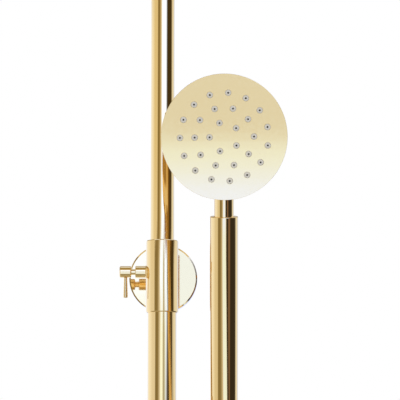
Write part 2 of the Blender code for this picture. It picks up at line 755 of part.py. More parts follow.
def make_inlet(prefix, x):
    """Offset union, hexagon nut, gasket and escutcheon on one water inlet."""
    wall = axis_empty(prefix + "_inlet_axis", (x, 0, MIXER_Z), OUT_OF_THE_WALL)
    flange_front = STUB_END - 2.6
    union_profile = [(0, flange_front), (13.4, flange_front), (13.4, flange_front - 2.5)]
    union_profile += [(UNION_RADIUS, flange_front - 2.5), (UNION_RADIUS, 7), (0, 7)]
    union = place(turned(prefix + "_union", union_profile, "polished_gold", MEDIUM), parent=wall)
    root = turned(prefix + "_union_root", rod(UNION_RADIUS + 0.1, 0, 9), None, MEDIUM)
    outer_way = turned(prefix + "_union_way", rod(6, 5, 60), None, COARSE)
    inner_way = turned(prefix + "_union_root_way", rod(6.1, -5, 8), None, COARSE)
    place(outer_way, parent=wall)
    for tool in (root, inner_way):
        place(tool, at=(0, -INLET_OFFSET, 0), parent=wall)
    join(union, root)
    cut(union, outer_way, inner_way)
    gasket_profile = ring(13.4, 8, STUB_END - 2.3, STUB_END - GAP)
    gasket = turned(prefix + "_gasket", gasket_profile, "black_rubber", MEDIUM)
    place(gasket, parent=wall)
    nut = turned(prefix + "_nut", rod(17.3, STUB_END - 8.1, STUB_END + 6.5), "polished_gold", 6)
    place(nut, parent=wall)
    wide = turned(prefix + "_nut_bore", rod(14.4, STUB_END - 5.4, 50))
    narrow = turned(prefix + "_nut_mouth", rod(UNION_RADIUS + 0.4, 10, 50), None, MEDIUM)
    for tool in (wide, narrow):
        place(tool, parent=wall)
    cut(nut, wide, narrow)
    hole = UNION_RADIUS + 0.4
    skin = 1.2
    profile = [
        (hole, ESCUTCHEON_DEPTH),
        (ESCUTCHEON_RADIUS - 1, ESCUTCHEON_DEPTH),
        (ESCUTCHEON_RADIUS, ESCUTCHEON_DEPTH - 1),
        (ESCUTCHEON_RADIUS, 0),
        (ESCUTCHEON_RADIUS - skin, 0),
        (ESCUTCHEON_RADIUS - skin, ESCUTCHEON_DEPTH - skin),
        (hole, ESCUTCHEON_DEPTH - skin),
    ]
    place(turned(prefix + "_escutcheon", profile, "polished_gold"), parent=wall)


def make_control(prefix, cartridge, mixer, turn):
    """A cartridge in one end of the bar and the handle on its spindle, with a slim lever."""
    cartridge_profile = [(0, 112), (4.5, 112), (4.5, 96.3), (9, 96.3)]
    cartridge_profile += [(9, 94), (15.6, 94), (15.6, 52), (0, 52)]
    place(turned(cartridge, cartridge_profile, "raw_brass", MEDIUM), turn=turn, parent=mixer)
    start = MIXER_HALF + 0.6
    chamfer = 0.8
    handle_profile = [
        (0, HANDLE_END),
        (MIXER_RADIUS - chamfer, HANDLE_END),
        (MIXER_RADIUS, HANDLE_END - chamfer),
        (MIXER_RADIUS, start),
        (MIXER_RADIUS - 2.2, start),
        (MIXER_RADIUS - 2.2, 108),
        (8.5, 108),
        (8.5, 100),
        (4.9, 100),
        (4.9, 112.5),
        (0, 112.5),
    ]
    handle = turned(prefix + "_handle", handle_profile, "polished_gold")
    place(handle, turn=turn, parent=mixer)
    side = 1 if turn == TO_THE_RIGHT else -1
    lever = turned(prefix + "_lever_pin", rod(2.2, MIXER_RADIUS - 2, MIXER_RADIUS + 24), None, COARSE)
    join(handle, place(lever, at=(side * 126, 0, 0), turn=OUT_OF_THE_WALL, parent=mixer))
    return handle


def make_mixer_controls(mixer):
    handle = make_control("temperature", "thermostat_cartridge", mixer, TO_THE_RIGHT)
    make_control("diverter", "diverter_cartridge", mixer, TO_THE_LEFT)
    hole = turned("button_hole", rod(3.5, 14, 25), None, COARSE)
    cut(handle, place(hole, at=(BUTTON_AT, 0, 0), parent=mixer))
    button_profile = [(0, 22.6), (2.7, 22.6), (3.1, 22.2), (3.1, 17), (0, 17)]
    button = turned("temperature_button", button_profile, "black_rubber", COARSE)
    place(button, at=(BUTTON_AT, 0, 0), parent=mixer)


def make_mixer_outlets(mixer, column):
    """Union nut and gasket under the column, and the threaded outlet for the hose."""
    gasket_profile = ring(12, 9.4, LOWER_BOTTOM - 2.3, LOWER_BOTTOM - GAP)
    place(turned("column_gasket", gasket_profile, "black_rubber", MEDIUM), parent=column)
    top = LOWER_BOTTOM + 6
    nut_profile = [
        (16.2, top),
        (17, top - 0.8),
        (17, LOWER_BOTTOM - 16),
        (14.4, LOWER_BOTTOM - 16),
        (14.4, LOWER_BOTTOM + 2),
        (LOWER_RADIUS + 0.4, LOWER_BOTTOM + 2),
        (LOWER_RADIUS + 0.4, top),
    ]
    place(turned("column_nut", nut_profile, "polished_gold"), parent=column)
    flange_top = -MIXER_RADIUS - GAP
    outlet_profile = [(7.2, -12), (7.2, flange_top), (13, flange_top), (13, flange_top - 2.5)]
    outlet_profile += [(INLET_RADIUS, flange_top - 2.5), (INLET_RADIUS, -36), (5, -36), (5, -12)]
    place(turned("hose_outlet", outlet_profile, "raw_brass", MEDIUM), parent=mixer)


def shade_pieces():
    """Keeps each piece's modelled result, smooth on its curves and sharp at its edges."""
    depsgraph = bpy.context.evaluated_depsgraph_get()
    solids = [piece for piece in PIECES.objects if piece.type == "MESH"]
    results = [bpy.data.meshes.new_from_object(piece.evaluated_get(depsgraph)) for piece in solids]
    for piece, result in zip(solids, results):
        piece.modifiers.clear()
        piece.data = result
        result.shade_smooth()
        result.set_sharp_from_angle(angle=SHARP_EDGE)


def build():
    wall = axis_empty("wall_axis", (0, 0, 0), OUT_OF_THE_WALL)
    column = axis_empty("column_axis", (0, COLUMN_Y, 0))
    make_lower_tube(column)
    make_riser_tube()
    make_collar(column)
    make_bush(column)
    make_piston(column)
    make_boss(column)
    make_lock("clamp", BUSH_RADIUS + 0.5, column)
    make_wall_bracket(wall, column)
    ball = axis_empty("rain_head_axis", (0, COLUMN_Y - ARM_REACH, BALL_Z))
    make_ball_joint(ball)
    make_ball_seat(ball)
    make_swivel_nut(ball)
    make_rain_inlet(ball)
    make_rain_head(ball)
    slider = axis_empty("slider_axis", (0, COLUMN_Y, SLIDER_Z))
    handset = axis_empty("hand_shower_axis", (HOLDER_X, HOLDER_Y, SLIDER_Z), (LEAN, 0, 0))
    disc = axis_empty("spray_axis", (0, 0, DISC_AT), OUT_OF_THE_WALL, handset)
    make_slider(slider)
    make_lock("slider", LINER_RADIUS + 0.5, slider)
    make_holder(slider, handset)
    make_handle(handset)
    make_hand_head(handset, disc)
    mixer = axis_empty("mixer_axis", (0, COLUMN_Y, MIXER_Z))
    make_mixer_body(mixer)
    make_inlet("hot", -INLET_SPACING / 2)
    make_inlet("cold", INLET_SPACING / 2)
    make_mixer_controls(mixer)
    make_mixer_outlets(mixer, column)
    shade_pieces()


build()
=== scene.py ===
"""Looks of the rainfall shower column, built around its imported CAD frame.

Lengths are millimetres until they reach Blender, which works in metres. The row frame has +X to the
user's right, +Y into the wall and +Z up, with the origin at the middle of the upper wall plate.
Every visible piece is remade here with a fine surface, and rides on the body of the piece it stands for.
"""

import math

import bmesh
import bpy
from mathutils import Matrix, Vector


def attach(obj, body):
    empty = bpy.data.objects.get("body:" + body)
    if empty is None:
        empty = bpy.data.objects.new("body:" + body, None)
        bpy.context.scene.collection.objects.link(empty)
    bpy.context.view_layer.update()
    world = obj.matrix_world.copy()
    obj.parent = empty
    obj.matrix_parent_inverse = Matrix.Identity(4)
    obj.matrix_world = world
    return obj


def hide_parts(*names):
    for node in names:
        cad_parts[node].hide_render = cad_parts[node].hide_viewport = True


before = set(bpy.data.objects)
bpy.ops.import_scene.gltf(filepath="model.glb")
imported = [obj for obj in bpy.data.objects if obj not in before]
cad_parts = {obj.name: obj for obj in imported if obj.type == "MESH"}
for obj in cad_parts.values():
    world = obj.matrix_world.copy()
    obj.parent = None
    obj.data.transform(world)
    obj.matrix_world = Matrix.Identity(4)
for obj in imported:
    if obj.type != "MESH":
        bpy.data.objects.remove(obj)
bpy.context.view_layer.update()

MM = 0.001
SIDES = 96
SMALL_SIDES = 32
PIN_SIDES = 48
SMOOTH_SIDES = 64
WIDE_SIDES = 128
DISC_SIDES = 160
EASE = 0.25
ARC_STEP = math.radians(15)
CREASE = math.radians(32)

# camera, in front of the column and looking slightly up at the clamp
CAMERA_AT = (31.5, -1672, -177.5)
CAMERA_RISE = math.radians(8.4)
LENS = 175.5
SENSOR = 36

# column
COLUMN_Y = -60
LOWER_RADIUS = 12
LOWER_BORE = 11
LOWER_TOP = -4
LOWER_BOTTOM = -700
RISER_RADIUS = 10
RISER_WALL = 1.5
RISER_BOTTOM = -215
BEND_RADIUS = 70
ARM_HEIGHT = 520
ARM_REACH = 400
TIP_BEND_RADIUS = 35
TIP_Z = 470

# clamp
COLLAR_RADIUS = 13.5
COLLAR_TOP = 26
COLLAR_BOTTOM = -34
LOCK_CHAMFER = 0.6
BOSS_RADIUS = 5.05
BOSS_FOOT_RADIUS = 6
BOSS_STEP = 13.7
BOSS_END = 22.2
STEM_RADIUS = 2.5
SADDLE_DEPTH = 0.1
KNOB_RADIUS = 4.9
KNOB_START = 25.7
KNOB_END = 35.2
LEVER_AT = 30.4
LEVER_LENGTH = 21.4
LEVER_ROOT_RADIUS = 1.33
LEVER_TIP_RADIUS = 1.87
LEVER_TILT = math.radians(10)

# wall bracket
WALL_ARM_RADIUS = 9
FLANGE_RADIUS = 29.1
FLANGE_DEPTH = 10
PLATE_RADIUS = 22
PLATE_THICKNESS = 4
SCREW_SPACING = 28

# rain head, measured from the centre of its ball
BALL_Z = 440
BALL_RADIUS = 10
RAIN_RADIUS = 100
RAIN_RINGS = ((20, 5), (40, 10), (60, 15), (80, 20))
RAIN_PLATE_TOP = -34.4
RAIN_PLATE_BOTTOM = -35.9

# slider and holder
SLIDER_Z = -126.5
SLIDER_RADIUS = 17
SLIDER_HALF = 22
LINER_RADIUS = 13.6
LINER_BORE = 12.4
HOLDER_X = 50.9
HOLDER_Y = -77.8
LEAN = math.radians(13)
CUP_RADIUS = 16.8
CUP_HALF = 13
CUP_CLEARANCE = 0.35
HOSE_SLOT = 15
HUB_RADIUS = 14
HUB_START = 23.8
HUB_END = 39
PIVOT_HEAD_RADIUS = 7

# threads of the hand shower's inlet, the water unions and the hose outlet
THREAD_PITCH = 1.8
THREAD_DEPTH = 0.9

# hand shower, measured along its handle from the middle of the cup
TAIL_TOP = 17.2
TAIL_BOTTOM = -13.5
TAIL_TOP_RADIUS = 13.2
TAIL_BOTTOM_RADIUS = 11.9
INLET_RADIUS = 10.3
INLET_BOTTOM = -26
HANDLE_RADIUS = 11.4
HANDLE_TOP = 169.8
NECK_RADIUS = 7.95
DISC_AT = 234.2
DISC_RADIUS = 50.6
DISC_FACE = 9.5
DISC_BACK = 9.5
DISC_EDGE = 3.5
HAND_RINGS = ((11.8, 5), (23.7, 10), (35.4, 15))
HAND_RING_TURN = math.radians(1.1)
NOZZLE_RADIUS = 2.45

# thermostatic bar mixer
MIXER_Z = -742
MIXER_RADIUS = 21
MIXER_HALF = 96
INLET_SPACING = 150
INLET_OFFSET = 6
UNION_RADIUS = 9.8
STUB_RADIUS = 14
STUB_END = 28
UNION_SEAT_RADIUS = 13.4
NUT_BORE = 14.4
ESCUTCHEON_RADIUS = 32
ESCUTCHEON_DEPTH = 12
HANDLE_END = 136
BUTTON_AT = 103

FLOOR_Z = -950
FLOOR_RADIUS = 1500

GOLD = (0.93, 0.67, 0.30)


def axis(at, turn=(0, 0, 0), parent=None):
    """The matrix of a guide at a point in millimetres, turned by XYZ angles, under another guide."""
    turned_by = Matrix.Rotation(turn[2], 4, "Z") @ Matrix.Rotation(turn[1], 4, "Y")
    own = Matrix.Translation([value * MM for value in at]) @ turned_by @ Matrix.Rotation(turn[0], 4, "X")
    return own if parent is None else parent @ own


QUARTER = math.pi / 2
TO_THE_LEFT = (0, -QUARTER, 0)
TO_THE_RIGHT = (0, QUARTER, 0)
OUT_OF_THE_WALL = (QUARTER, 0, 0)

WALL = axis((0, 0, 0), OUT_OF_THE_WALL)
COLUMN = axis((0, COLUMN_Y, 0))
BALL = axis((0, COLUMN_Y - ARM_REACH, BALL_Z))
SLIDER = axis((0, COLUMN_Y, SLIDER_Z))
HANDSET = axis((HOLDER_X, HOLDER_Y, SLIDER_Z), (LEAN, 0, 0))
SPRAY = axis((0, 0, DISC_AT), OUT_OF_THE_WALL, HANDSET)
MIXER = axis((0, COLUMN_Y, MIXER_Z))


# ---- materials


def set_inputs(node, values):
    for name, value in values.items():
        node.inputs[name].default_value = value


def new_material(name, colour, roughness, metallic):
    """A Principled material with its uniform values set on the shader's own sockets."""
    material = bpy.data.materials.new(name)
    material.use_nodes = True
    values = {"Base Color": (*colour, 1), "Roughness": roughness, "Metallic": metallic}
    set_inputs(material.node_tree.nodes["Principled BSDF"], values)
    return material


def noise(material, scale, detail, stretch=(1, 1, 1)):
    """Procedural noise in the object's own coordinates, stretched along its axes."""
    nodes = material.node_tree.nodes
    links = material.node_tree.links
    place = nodes.new("ShaderNodeTexCoord")
    mapping = nodes.new("ShaderNodeMapping")
    mapping.inputs["Scale"].default_value = stretch
    texture = nodes.new("ShaderNodeTexNoise")
    set_inputs(texture, {"Scale": scale, "Detail": detail})
    links.new(place.outputs["Object"], mapping.inputs["Vector"])
    links.new(mapping.outputs["Vector"], texture.inputs["Vector"])
    return texture.outputs["Fac"]


def feed_shader(material, source, name):
    shader = material.node_tree.nodes["Principled BSDF"]
    material.node_tree.links.new(source, shader.inputs[name])


def mix_colours(tree, factor, first, second):
    """Mixes two colours, each of them a socket or plain numbers."""
    blend = tree.nodes.new("ShaderNodeMix")
    blend.data_type = "RGBA"
    tree.links.new(factor, blend.inputs["Factor"])
    for name, colour in (("A", first), ("B", second)):
        if isinstance(colour, bpy.types.NodeSocket):
            tree.links.new(colour, blend.inputs[name])
        else:
            blend.inputs[name].default_value = (*colour, 1)
    return blend.outputs["Result"]


def vary_roughness(material, source, low, high):
    spread = material.node_tree.nodes.new("ShaderNodeMapRange")
    set_inputs(spread, {"From Min": 0.3, "From Max": 0.7, "To Min": low, "To Max": high})
    material.node_tree.links.new(source, spread.inputs["Value"])
    feed_shader(material, spread.outputs["Result"], "Roughness")


def add_bump(material, source, strength, distance):
    bump = material.node_tree.nodes.new("ShaderNodeBump")
    set_inputs(bump, {"Strength": strength, "Distance": distance * MM})
    material.node_tree.links.new(source, bump.inputs["Height"])
    feed_shader(material, bump.outputs["Normal"], "Normal")


# Noises are (scale, detail[, stretch]). Turning marks run round the brass, and a grain along the steel.
MARKS = (60, 3, (1, 1, 40))
GRAIN = (90, 4, (1, 30, 1))
# name: (colour, roughness, metallic), (colour noise, second colour), (roughness noise, low, high),
# (bump noise, strength, depth in millimetres)
FINISH_LOOKS = {
    "polished_gold": (
        (GOLD, 0.05, 1),
        ((25, 2), (0.95, 0.69, 0.315)),
        ((300, 3), 0.035, 0.065),
        ((700, 2), 0.012, 0.02),
    ),
    "satin_gold": (
        (GOLD, 0.2, 1),
        ((60, 2), (0.90, 0.64, 0.29)),
        ((400, 3), 0.16, 0.26),
        ((900, 2), 0.05, 0.02),
    ),
    "raw_brass": (
        ((0.72, 0.53, 0.25), 0.3, 1),
        ((180, 3), (0.62, 0.43, 0.19)),
        (MARKS, 0.22, 0.4),
        (MARKS, 0.15, 0.05),
    ),
    "steel": (
        ((0.62, 0.62, 0.60), 0.3, 1),
        (GRAIN, (0.5, 0.5, 0.49)),
        (GRAIN, 0.24, 0.42),
        (GRAIN, 0.12, 0.04),
    ),
    "pale_silicone": (
        ((0.68, 0.64, 0.53), 0.5, 0),
        ((120, 2), (0.62, 0.58, 0.47)),
        ((500, 3), 0.42, 0.6),
        ((2500, 2), 0.1, 0.03),
    ),
    "white_nylon": (
        ((0.82, 0.81, 0.76), 0.42, 0),
        ((90, 3), (0.78, 0.765, 0.71)),
        ((600, 3), 0.35, 0.5),
        ((1800, 2), 0.12, 0.03),
    ),
    "black_rubber": (
        ((0.026, 0.026, 0.026), 0.7, 0),
        ((200, 3), (0.045, 0.044, 0.042)),
        ((800, 3), 0.6, 0.82),
        ((2200, 2), 0.2, 0.04),
    ),
}


def make_finish(name, base, tone, gloss, relief):
    """A finish whose colour, roughness and relief each vary a little from place to place."""
    material = new_material(name, *base)
    tone_noise, second = tone
    blend = mix_colours(material.node_tree, noise(material, *tone_noise), base[0], second)
    feed_shader(material, blend, "Base Color")
    vary_roughness(material, noise(material, *gloss[0]), *gloss[1:])
    add_bump(material, noise(material, *relief[0]), *relief[1:])
    return material


def channel_painted_shade():
    """Painted shade for the inside of a nozzle's channel: a dark colour standing in for the shade that falls
    in the deep hole.
    """
    shade_colour = (0.05, 0.045, 0.04)
    material = new_material("channel_painted_shade", shade_colour, 0.5, 0)
    blend = mix_colours(material.node_tree, noise(material, 900, 2), shade_colour, (0.09, 0.08, 0.07))
    feed_shader(material, blend, "Base Color")
    return material


FINISHES = {name: make_finish(name, *look) for name, look in FINISH_LOOKS.items()}
FINISHES["steel"].name = "brushed_steel"
SILICONE = FINISHES["pale_silicone"].node_tree.nodes["Principled BSDF"]
SILICONE.inputs["Specular IOR Level"].default_value = 0.2
# the nozzle channels get painted shade, a dark material put where the holes are in shade
CHANNEL_SHADE = channel_painted_shade()


# ---- surfaces


def side_normal(along):
    """Outward direction of a profile that runs down its outer side."""
    return Vector((-along.y, along.x))


def turn_by(vector, angle):
    return Matrix.Rotation(angle, 2) @ vector


def eased(before, corner, after, easing):
    """A corner replaced by an arc, as points with their outward directions."""
    arriving = (corner - before).normalized()
    leaving = (after - corner).normalized()
    bend = arriving.angle_signed(leaving) * -1
    if easing == 0 or abs(bend) < 0.001:
        return [(corner, side_normal((arriving + leaving).normalized()))]
    half = math.tan(abs(bend) / 2)
    room = 0.45 * min((corner - before).length, (after - corner).length)
    reach = min(easing * half, room)
    start = corner - arriving * reach
    inward = turn_by(arriving, math.copysign(QUARTER, bend))
    centre = start + inward * (reach / half)
    steps = max(2, math.ceil(abs(bend) / ARC_STEP))
    points = []
    for step in range(steps + 1):
        angle = bend * step / steps
        points.append((centre + turn_by(start - centre, angle), turn_by(side_normal(arriving), angle)))
    return points


def outline(corners):
    """A profile of (radius, height[, easing]) with its corners eased. Off the axis, it is a loop."""
    places = [Vector(corner[:2]) for corner in corners]
    easings = [corner[2] if len(corner) > 2 else EASE for corner in corners]
    last = len(places) - 1
    loop = places[0].x > 0
    points = []
    for index, here in enumerate(places):
        if not loop and index == 0:
            points.append((here, side_normal((places[1] - here).normalized())))
        elif not loop and index == last:
            points.append((here, side_normal((here - places[-2]).normalized())))
        else:
            after = places[0] if index == last else places[index + 1]
            points += eased(places[index - 1], here, after, easings[index])
    return points, loop


def surface(corners, sides=SIDES):
    """A turned surface as (points, normals, faces), exact in its normals as well as its points."""
    profile, loop = outline(corners)
    points = []
    normals = []
    rows = []
    for place, facing in profile:
        row = []
        around = 1 if place.x < 1e-6 else sides
        for side in range(around):
            angle = 2 * math.pi * side / sides
            row.append(len(points))
            points.append(Vector((place.x * math.cos(angle), place.x * math.sin(angle), place.y)) * MM)
            normals.append(Vector((facing.x * math.cos(angle), facing.x * math.sin(angle), facing.y)))
        rows.append(row)
    faces = []
    pairs = list(zip(rows, rows[1:]))
    if loop:
        pairs.append((rows[-1], rows[0]))
    for upper, lower in pairs:
        faces += strip(upper, lower, sides)
    return points, normals, faces


def strip(upper, lower, sides):
    """The faces between two rings of points, either of which may be one point on the axis."""
    faces = []
    for side in range(sides):
        ahead = (side + 1) % sides
        if len(upper) == 1:
            faces.append((upper[0], lower[side], lower[ahead]))
        elif len(lower) == 1:
            faces.append((upper[side], lower[0], upper[ahead]))
        else:
            faces.append((upper[side], lower[side], lower[ahead], upper[ahead]))
    return faces


def shifted(part, offset):
    points, normals, faces = part
    move = Vector(offset) * MM
    return [point + move for point in points], normals, faces


def show(name, data, at=Matrix()):
    """A new object on some data, placed and shown."""
    item = bpy.data.objects.new(name, data)
    item.matrix_world = at
    bpy.context.scene.collection.objects.link(item)
    return item


def as_mesh(shape, name):
    """Turns a bmesh into a mesh and frees it."""
    mesh = bpy.data.meshes.new(name)
    shape.to_mesh(mesh)
    shape.free()
    return mesh


def build_object(name, parts, at, finish):
    """One object from several surfaces, with their own normals."""
    points = []
    normals = []
    faces = []
    for part_points, part_normals, part_faces in parts:
        start = len(points)
        points += part_points
        normals += part_normals
        faces += [tuple(start + corner for corner in face) for face in part_faces]
    mesh = bpy.data.meshes.new(name)
    mesh.from_pydata(points, [], faces)
    mesh.shade_smooth()
    mesh.normals_split_custom_set_from_vertices(normals)
    mesh.materials.append(FINISHES[finish])
    return show(name, mesh, at)


def turned(name, corners, at, finish="polished_gold", sides=SIDES):
    return build_object(name, [surface(corners, sides)], at, finish)


def install(item, body, *nodes, slot="polished_gold"):
    """Puts a piece on its body, in place of the CAD nodes that it stands for."""
    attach(item, body)
    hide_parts(*nodes)
    return item


def fit(node, body, corners, at, finish="polished_gold", sides=SIDES):
    """A turned piece that stands for one CAD node and needs no more work."""
    item = turned(node + "_fine", corners, at, finish, sides)
    return install(item, body, node, slot=finish)


def tool(corners, at):
    """A closed turned shape that is only used to cut or join another piece."""
    return turned("tool", corners, at, sides=SIDES)


def rod(radius, low, high, easing=0.0001):
    return [(0, high), (radius, high, easing), (radius, low, easing), (0, low)]


def block(low, high, at):
    """A box-shaped tool between two corners."""
    shape = bmesh.new()
    bmesh.ops.create_cube(shape, size=1)
    for corner in shape.verts:
        corner.co = [((a + b) / 2 + (b - a) * value) * MM for a, b, value in zip(low, high, corner.co)]
    return show("tool", as_mesh(shape, "tool"), at)


def shape_with(item, joins=(), cuts=(), bevel=0.0):
    """Joins and cuts a piece with its tools, then gives its crossing edges a fine bevel."""
    for operation, tools in (("UNION", joins), ("DIFFERENCE", cuts)):
        for other in tools:
            change = item.modifiers.new(operation.title(), "BOOLEAN")
            change.operation = operation
            change.object = other
    if bevel:
        edge = item.modifiers.new("Edge", "BEVEL")
        edge.width = bevel * MM
        edge.segments = 2
        edge.limit_method = "ANGLE"
        edge.angle_limit = CREASE
    depsgraph = bpy.context.evaluated_depsgraph_get()
    result = bpy.data.meshes.new_from_object(item.evaluated_get(depsgraph))
    item.modifiers.clear()
    item.data = result
    result.shade_smooth()
    result.set_sharp_from_angle(angle=CREASE)
    weigh = item.modifiers.new("Normals", "WEIGHTED_NORMAL")
    weigh.keep_sharp = True
    for other in (*joins, *cuts):
        bpy.data.objects.remove(other, do_unlink=True)
    return item


# ---- column


def bend(centre_y, centre_z, radius, start, end, steps):
    """Points of a bend in the plane X = 0, each with its direction of travel."""
    points = []
    for step in range(steps + 1):
        angle = start + (end - start) * step / steps
        place = Vector((centre_y + radius * math.cos(angle), centre_z + radius * math.sin(angle)))
        points.append((place, Vector((-math.sin(angle), math.cos(angle)))))
    return points


def riser_route():
    """The riser's centre line in (Y, Z), from its lower end to the tip over the user."""
    steps = 32
    tip_y = COLUMN_Y - ARM_REACH
    upward = Vector((0, 1))
    route = [(Vector((COLUMN_Y, RISER_BOTTOM)), upward)]
    route += bend(COLUMN_Y - BEND_RADIUS, ARM_HEIGHT - BEND_RADIUS, BEND_RADIUS, 0, QUARTER, steps)
    tip_start = tip_y + TIP_BEND_RADIUS
    route += bend(tip_start, ARM_HEIGHT - TIP_BEND_RADIUS, TIP_BEND_RADIUS, QUARTER, math.pi, steps)
    route.append((Vector((tip_y, TIP_Z)), -upward))
    return route


def swept_ring(place, along, radius, outward, forward):
    """Points and normals of a ring round the route, facing partly outward and partly forward."""
    points = []
    normals = []
    ahead = Vector((0, *along))
    for side in range(SIDES):
        angle = 2 * math.pi * side / SIDES
        out = math.sin(angle) * Vector((0, along.y, -along.x)) + Vector((math.cos(angle), 0, 0))
        points.append((Vector((0, *place)) + out * radius) * MM)
        normals.append(out * outward + ahead * forward)
    return points, normals


def riser_stations():
    """The tube's rings in order: up its outside, over the tip, down its inside and round the foot."""
    route = riser_route()
    bore = RISER_RADIUS - RISER_WALL
    (foot, start), (tip, end) = route[0], route[-1]
    trimmed = [(foot + start * EASE, start), *route[1:-1], (tip - end * EASE, end)]
    stations = [(place, along, RISER_RADIUS, 1, 0) for place, along in trimmed]
    stations += [(tip, end, RISER_RADIUS - EASE, 0, 1), (tip, end, bore + EASE, 0, 1)]
    stations += [(place, along, bore, -1, 0) for place, along in reversed(trimmed)]
    stations += [(foot, start, bore + EASE, 0, -1), (foot, start, RISER_RADIUS - EASE, 0, -1)]
    return stations


def make_riser_tube():
    """One drawn and bent tube with a wall, open at both ends."""
    points = []
    normals = []
    rows = []
    for station in riser_stations():
        ring_points, ring_normals = swept_ring(*station)
        rows.append(range(len(points), len(points) + SIDES))
        points += ring_points
        normals += ring_normals
    faces = []
    for first, second in zip(rows, rows[1:] + rows[:1]):
        faces += strip(second, first, SIDES)
    item = build_object("riser_tube_fine", [(points, normals, faces)], Matrix(), "polished_gold")
    install(item, "riser", "riser_tube")


def make_lower_tube():
    corners = [(LOWER_RADIUS, LOWER_TOP), (LOWER_RADIUS, LOWER_BOTTOM)]
    corners += [(LOWER_BORE, LOWER_BOTTOM), (LOWER_BORE, LOWER_TOP)]
    fit("lower_tube", "root", corners, COLUMN)


def make_collar():
    """The telescopic collar, with bright chamfers and the lip that guides the riser."""
    lip = 3.5
    bore = LOWER_RADIUS + 0.35
    mouth = RISER_RADIUS + 0.5
    corners = [
        (COLLAR_RADIUS - LOCK_CHAMFER, COLLAR_TOP, 0.15),
        (COLLAR_RADIUS, COLLAR_TOP - LOCK_CHAMFER, 0.3),
        (COLLAR_RADIUS, COLLAR_BOTTOM + LOCK_CHAMFER, 0.3),
        (COLLAR_RADIUS - LOCK_CHAMFER, COLLAR_BOTTOM, 0.15), (bore, COLLAR_BOTTOM),
        (bore, COLLAR_TOP - lip), (mouth, COLLAR_TOP - lip), (mouth, COLLAR_TOP),
    ]
    fit("clamp_collar", "root", corners, COLUMN)


def saddled(part, radius, limit, across):
    """Fits the points of a turned surface that lie below a limit to a cylinder which crosses its axis."""
    points, normals, faces = part
    fitted = []
    for point in points:
        height = point.z
        if height < limit * MM:
            fall = math.sqrt((radius * MM) ** 2 - point[across] ** 2)
            height = fall - SADDLE_DEPTH * MM + (height - limit * MM) * 0.05
        fitted.append(Vector((point.x, point.y, height)))
    return fitted, normals, faces


def make_boss():
    """The threaded boss on the collar's left, its satin foot fitted to the collar."""
    corners = [
        (STEM_RADIUS + 0.4, BOSS_END, 0.3), (BOSS_RADIUS, BOSS_END, 0.5),
        (BOSS_RADIUS, BOSS_STEP, 0.4), (BOSS_FOOT_RADIUS, BOSS_STEP - 0.7, 0.4),
        (BOSS_FOOT_RADIUS, 12), (STEM_RADIUS + 0.4, 12),
    ]
    parts = [saddled(surface(corners), COLLAR_RADIUS, 13, 1)]
    boss = build_object("clamp_boss_fine", parts, axis((0, COLUMN_Y, 0), TO_THE_LEFT), "polished_gold")
    boss.data.materials.append(FINISHES["satin_gold"])
    for face in boss.data.polygons:
        if face.center.z < BOSS_STEP * MM:
            face.material_index = 1
    install(boss, "root", "clamp_boss")


def make_lock(prefix, pad_start, height, body):
    """The knob on its screw and the slim lever through it."""
    stem_end = pad_start + 4.4
    corners = [
        (0, KNOB_END), (KNOB_RADIUS - LOCK_CHAMFER, KNOB_END, 0.15),
        (KNOB_RADIUS, KNOB_END - LOCK_CHAMFER, 0.3), (KNOB_RADIUS, KNOB_START + LOCK_CHAMFER, 0.3),
        (KNOB_RADIUS - LOCK_CHAMFER, KNOB_START, 0.15), (STEM_RADIUS, KNOB_START, 0.3),
        (STEM_RADIUS, stem_end), (0, stem_end),
    ]
    fit(prefix + "_knob", body, corners, axis((0, COLUMN_Y, height), TO_THE_LEFT))
    corners = [
        (0, -1.5), (LEVER_ROOT_RADIUS, -1.5), (LEVER_ROOT_RADIUS, -KNOB_RADIUS, 2),
        (LEVER_TIP_RADIUS, -LEVER_LENGTH, 1.75), (0, -LEVER_LENGTH),
    ]
    tilted = axis((-LEVER_AT, COLUMN_Y, height), (LEVER_TILT, 0, 0))
    lever = turned(prefix + "_lever_fine", corners, tilted, "satin_gold", PIN_SIDES)
    install(lever, body, prefix + "_lever")


def make_wall_bracket():
    """Plate with its two screws, covering flange, and the arm fitted to the collar."""
    spigot = 6.4
    corners = [
        (0, 24), (spigot, 24, 0.8), (spigot, PLATE_THICKNESS, 0.6),
        (PLATE_RADIUS, PLATE_THICKNESS, 0.6), (PLATE_RADIUS, 0), (0, 0),
    ]
    plate = turned("wall_plate_fine", corners, WALL, "steel")
    centres = [(-SCREW_SPACING / 2, 0), (SCREW_SPACING / 2, 0)]
    holes = [tool(rod(2.4, -1, 6), axis((x, y, 0), parent=WALL)) for x, y in centres]
    shape_with(plate, cuts=holes)
    install(plate, "root", "wall_plate", slot="steel")
    for side, (x, y) in zip(("left", "right"), centres):
        make_screw("wall_screw_" + side, axis((x, y, PLATE_THICKNESS), parent=WALL))
    skin = 1.2
    hole = WALL_ARM_RADIUS + 0.3
    corners = [
        (hole, FLANGE_DEPTH), (FLANGE_RADIUS - 1.2, FLANGE_DEPTH, 0.3),
        (FLANGE_RADIUS, FLANGE_DEPTH - 0.5, 0.15), (FLANGE_RADIUS, 0), (FLANGE_RADIUS - skin, 0),
        (FLANGE_RADIUS - skin, FLANGE_DEPTH - skin), (hole, FLANGE_DEPTH - skin),
    ]
    fit("wall_flange", "root", corners, WALL, sides=WIDE_SIDES)
    make_wall_arm()


def make_screw(node, at):
    """A pan-head screw with a cross recess."""
    corners = [(0, 2.5), (3.4, 2.5, 1.4), (4.2, 0.3, 0.3), (2.1, 0.3), (2.1, -3.7), (0, -3.7)]
    screw = turned(node + "_fine", corners, at, "steel", PIN_SIDES)
    arms = [block((-2.2, -0.4, 1.1), (2.2, 0.4, 4), at), block((-0.4, -2.2, 1.1), (0.4, 2.2, 4), at)]
    shape_with(screw, cuts=arms)
    install(screw, "root", node, slot="steel")


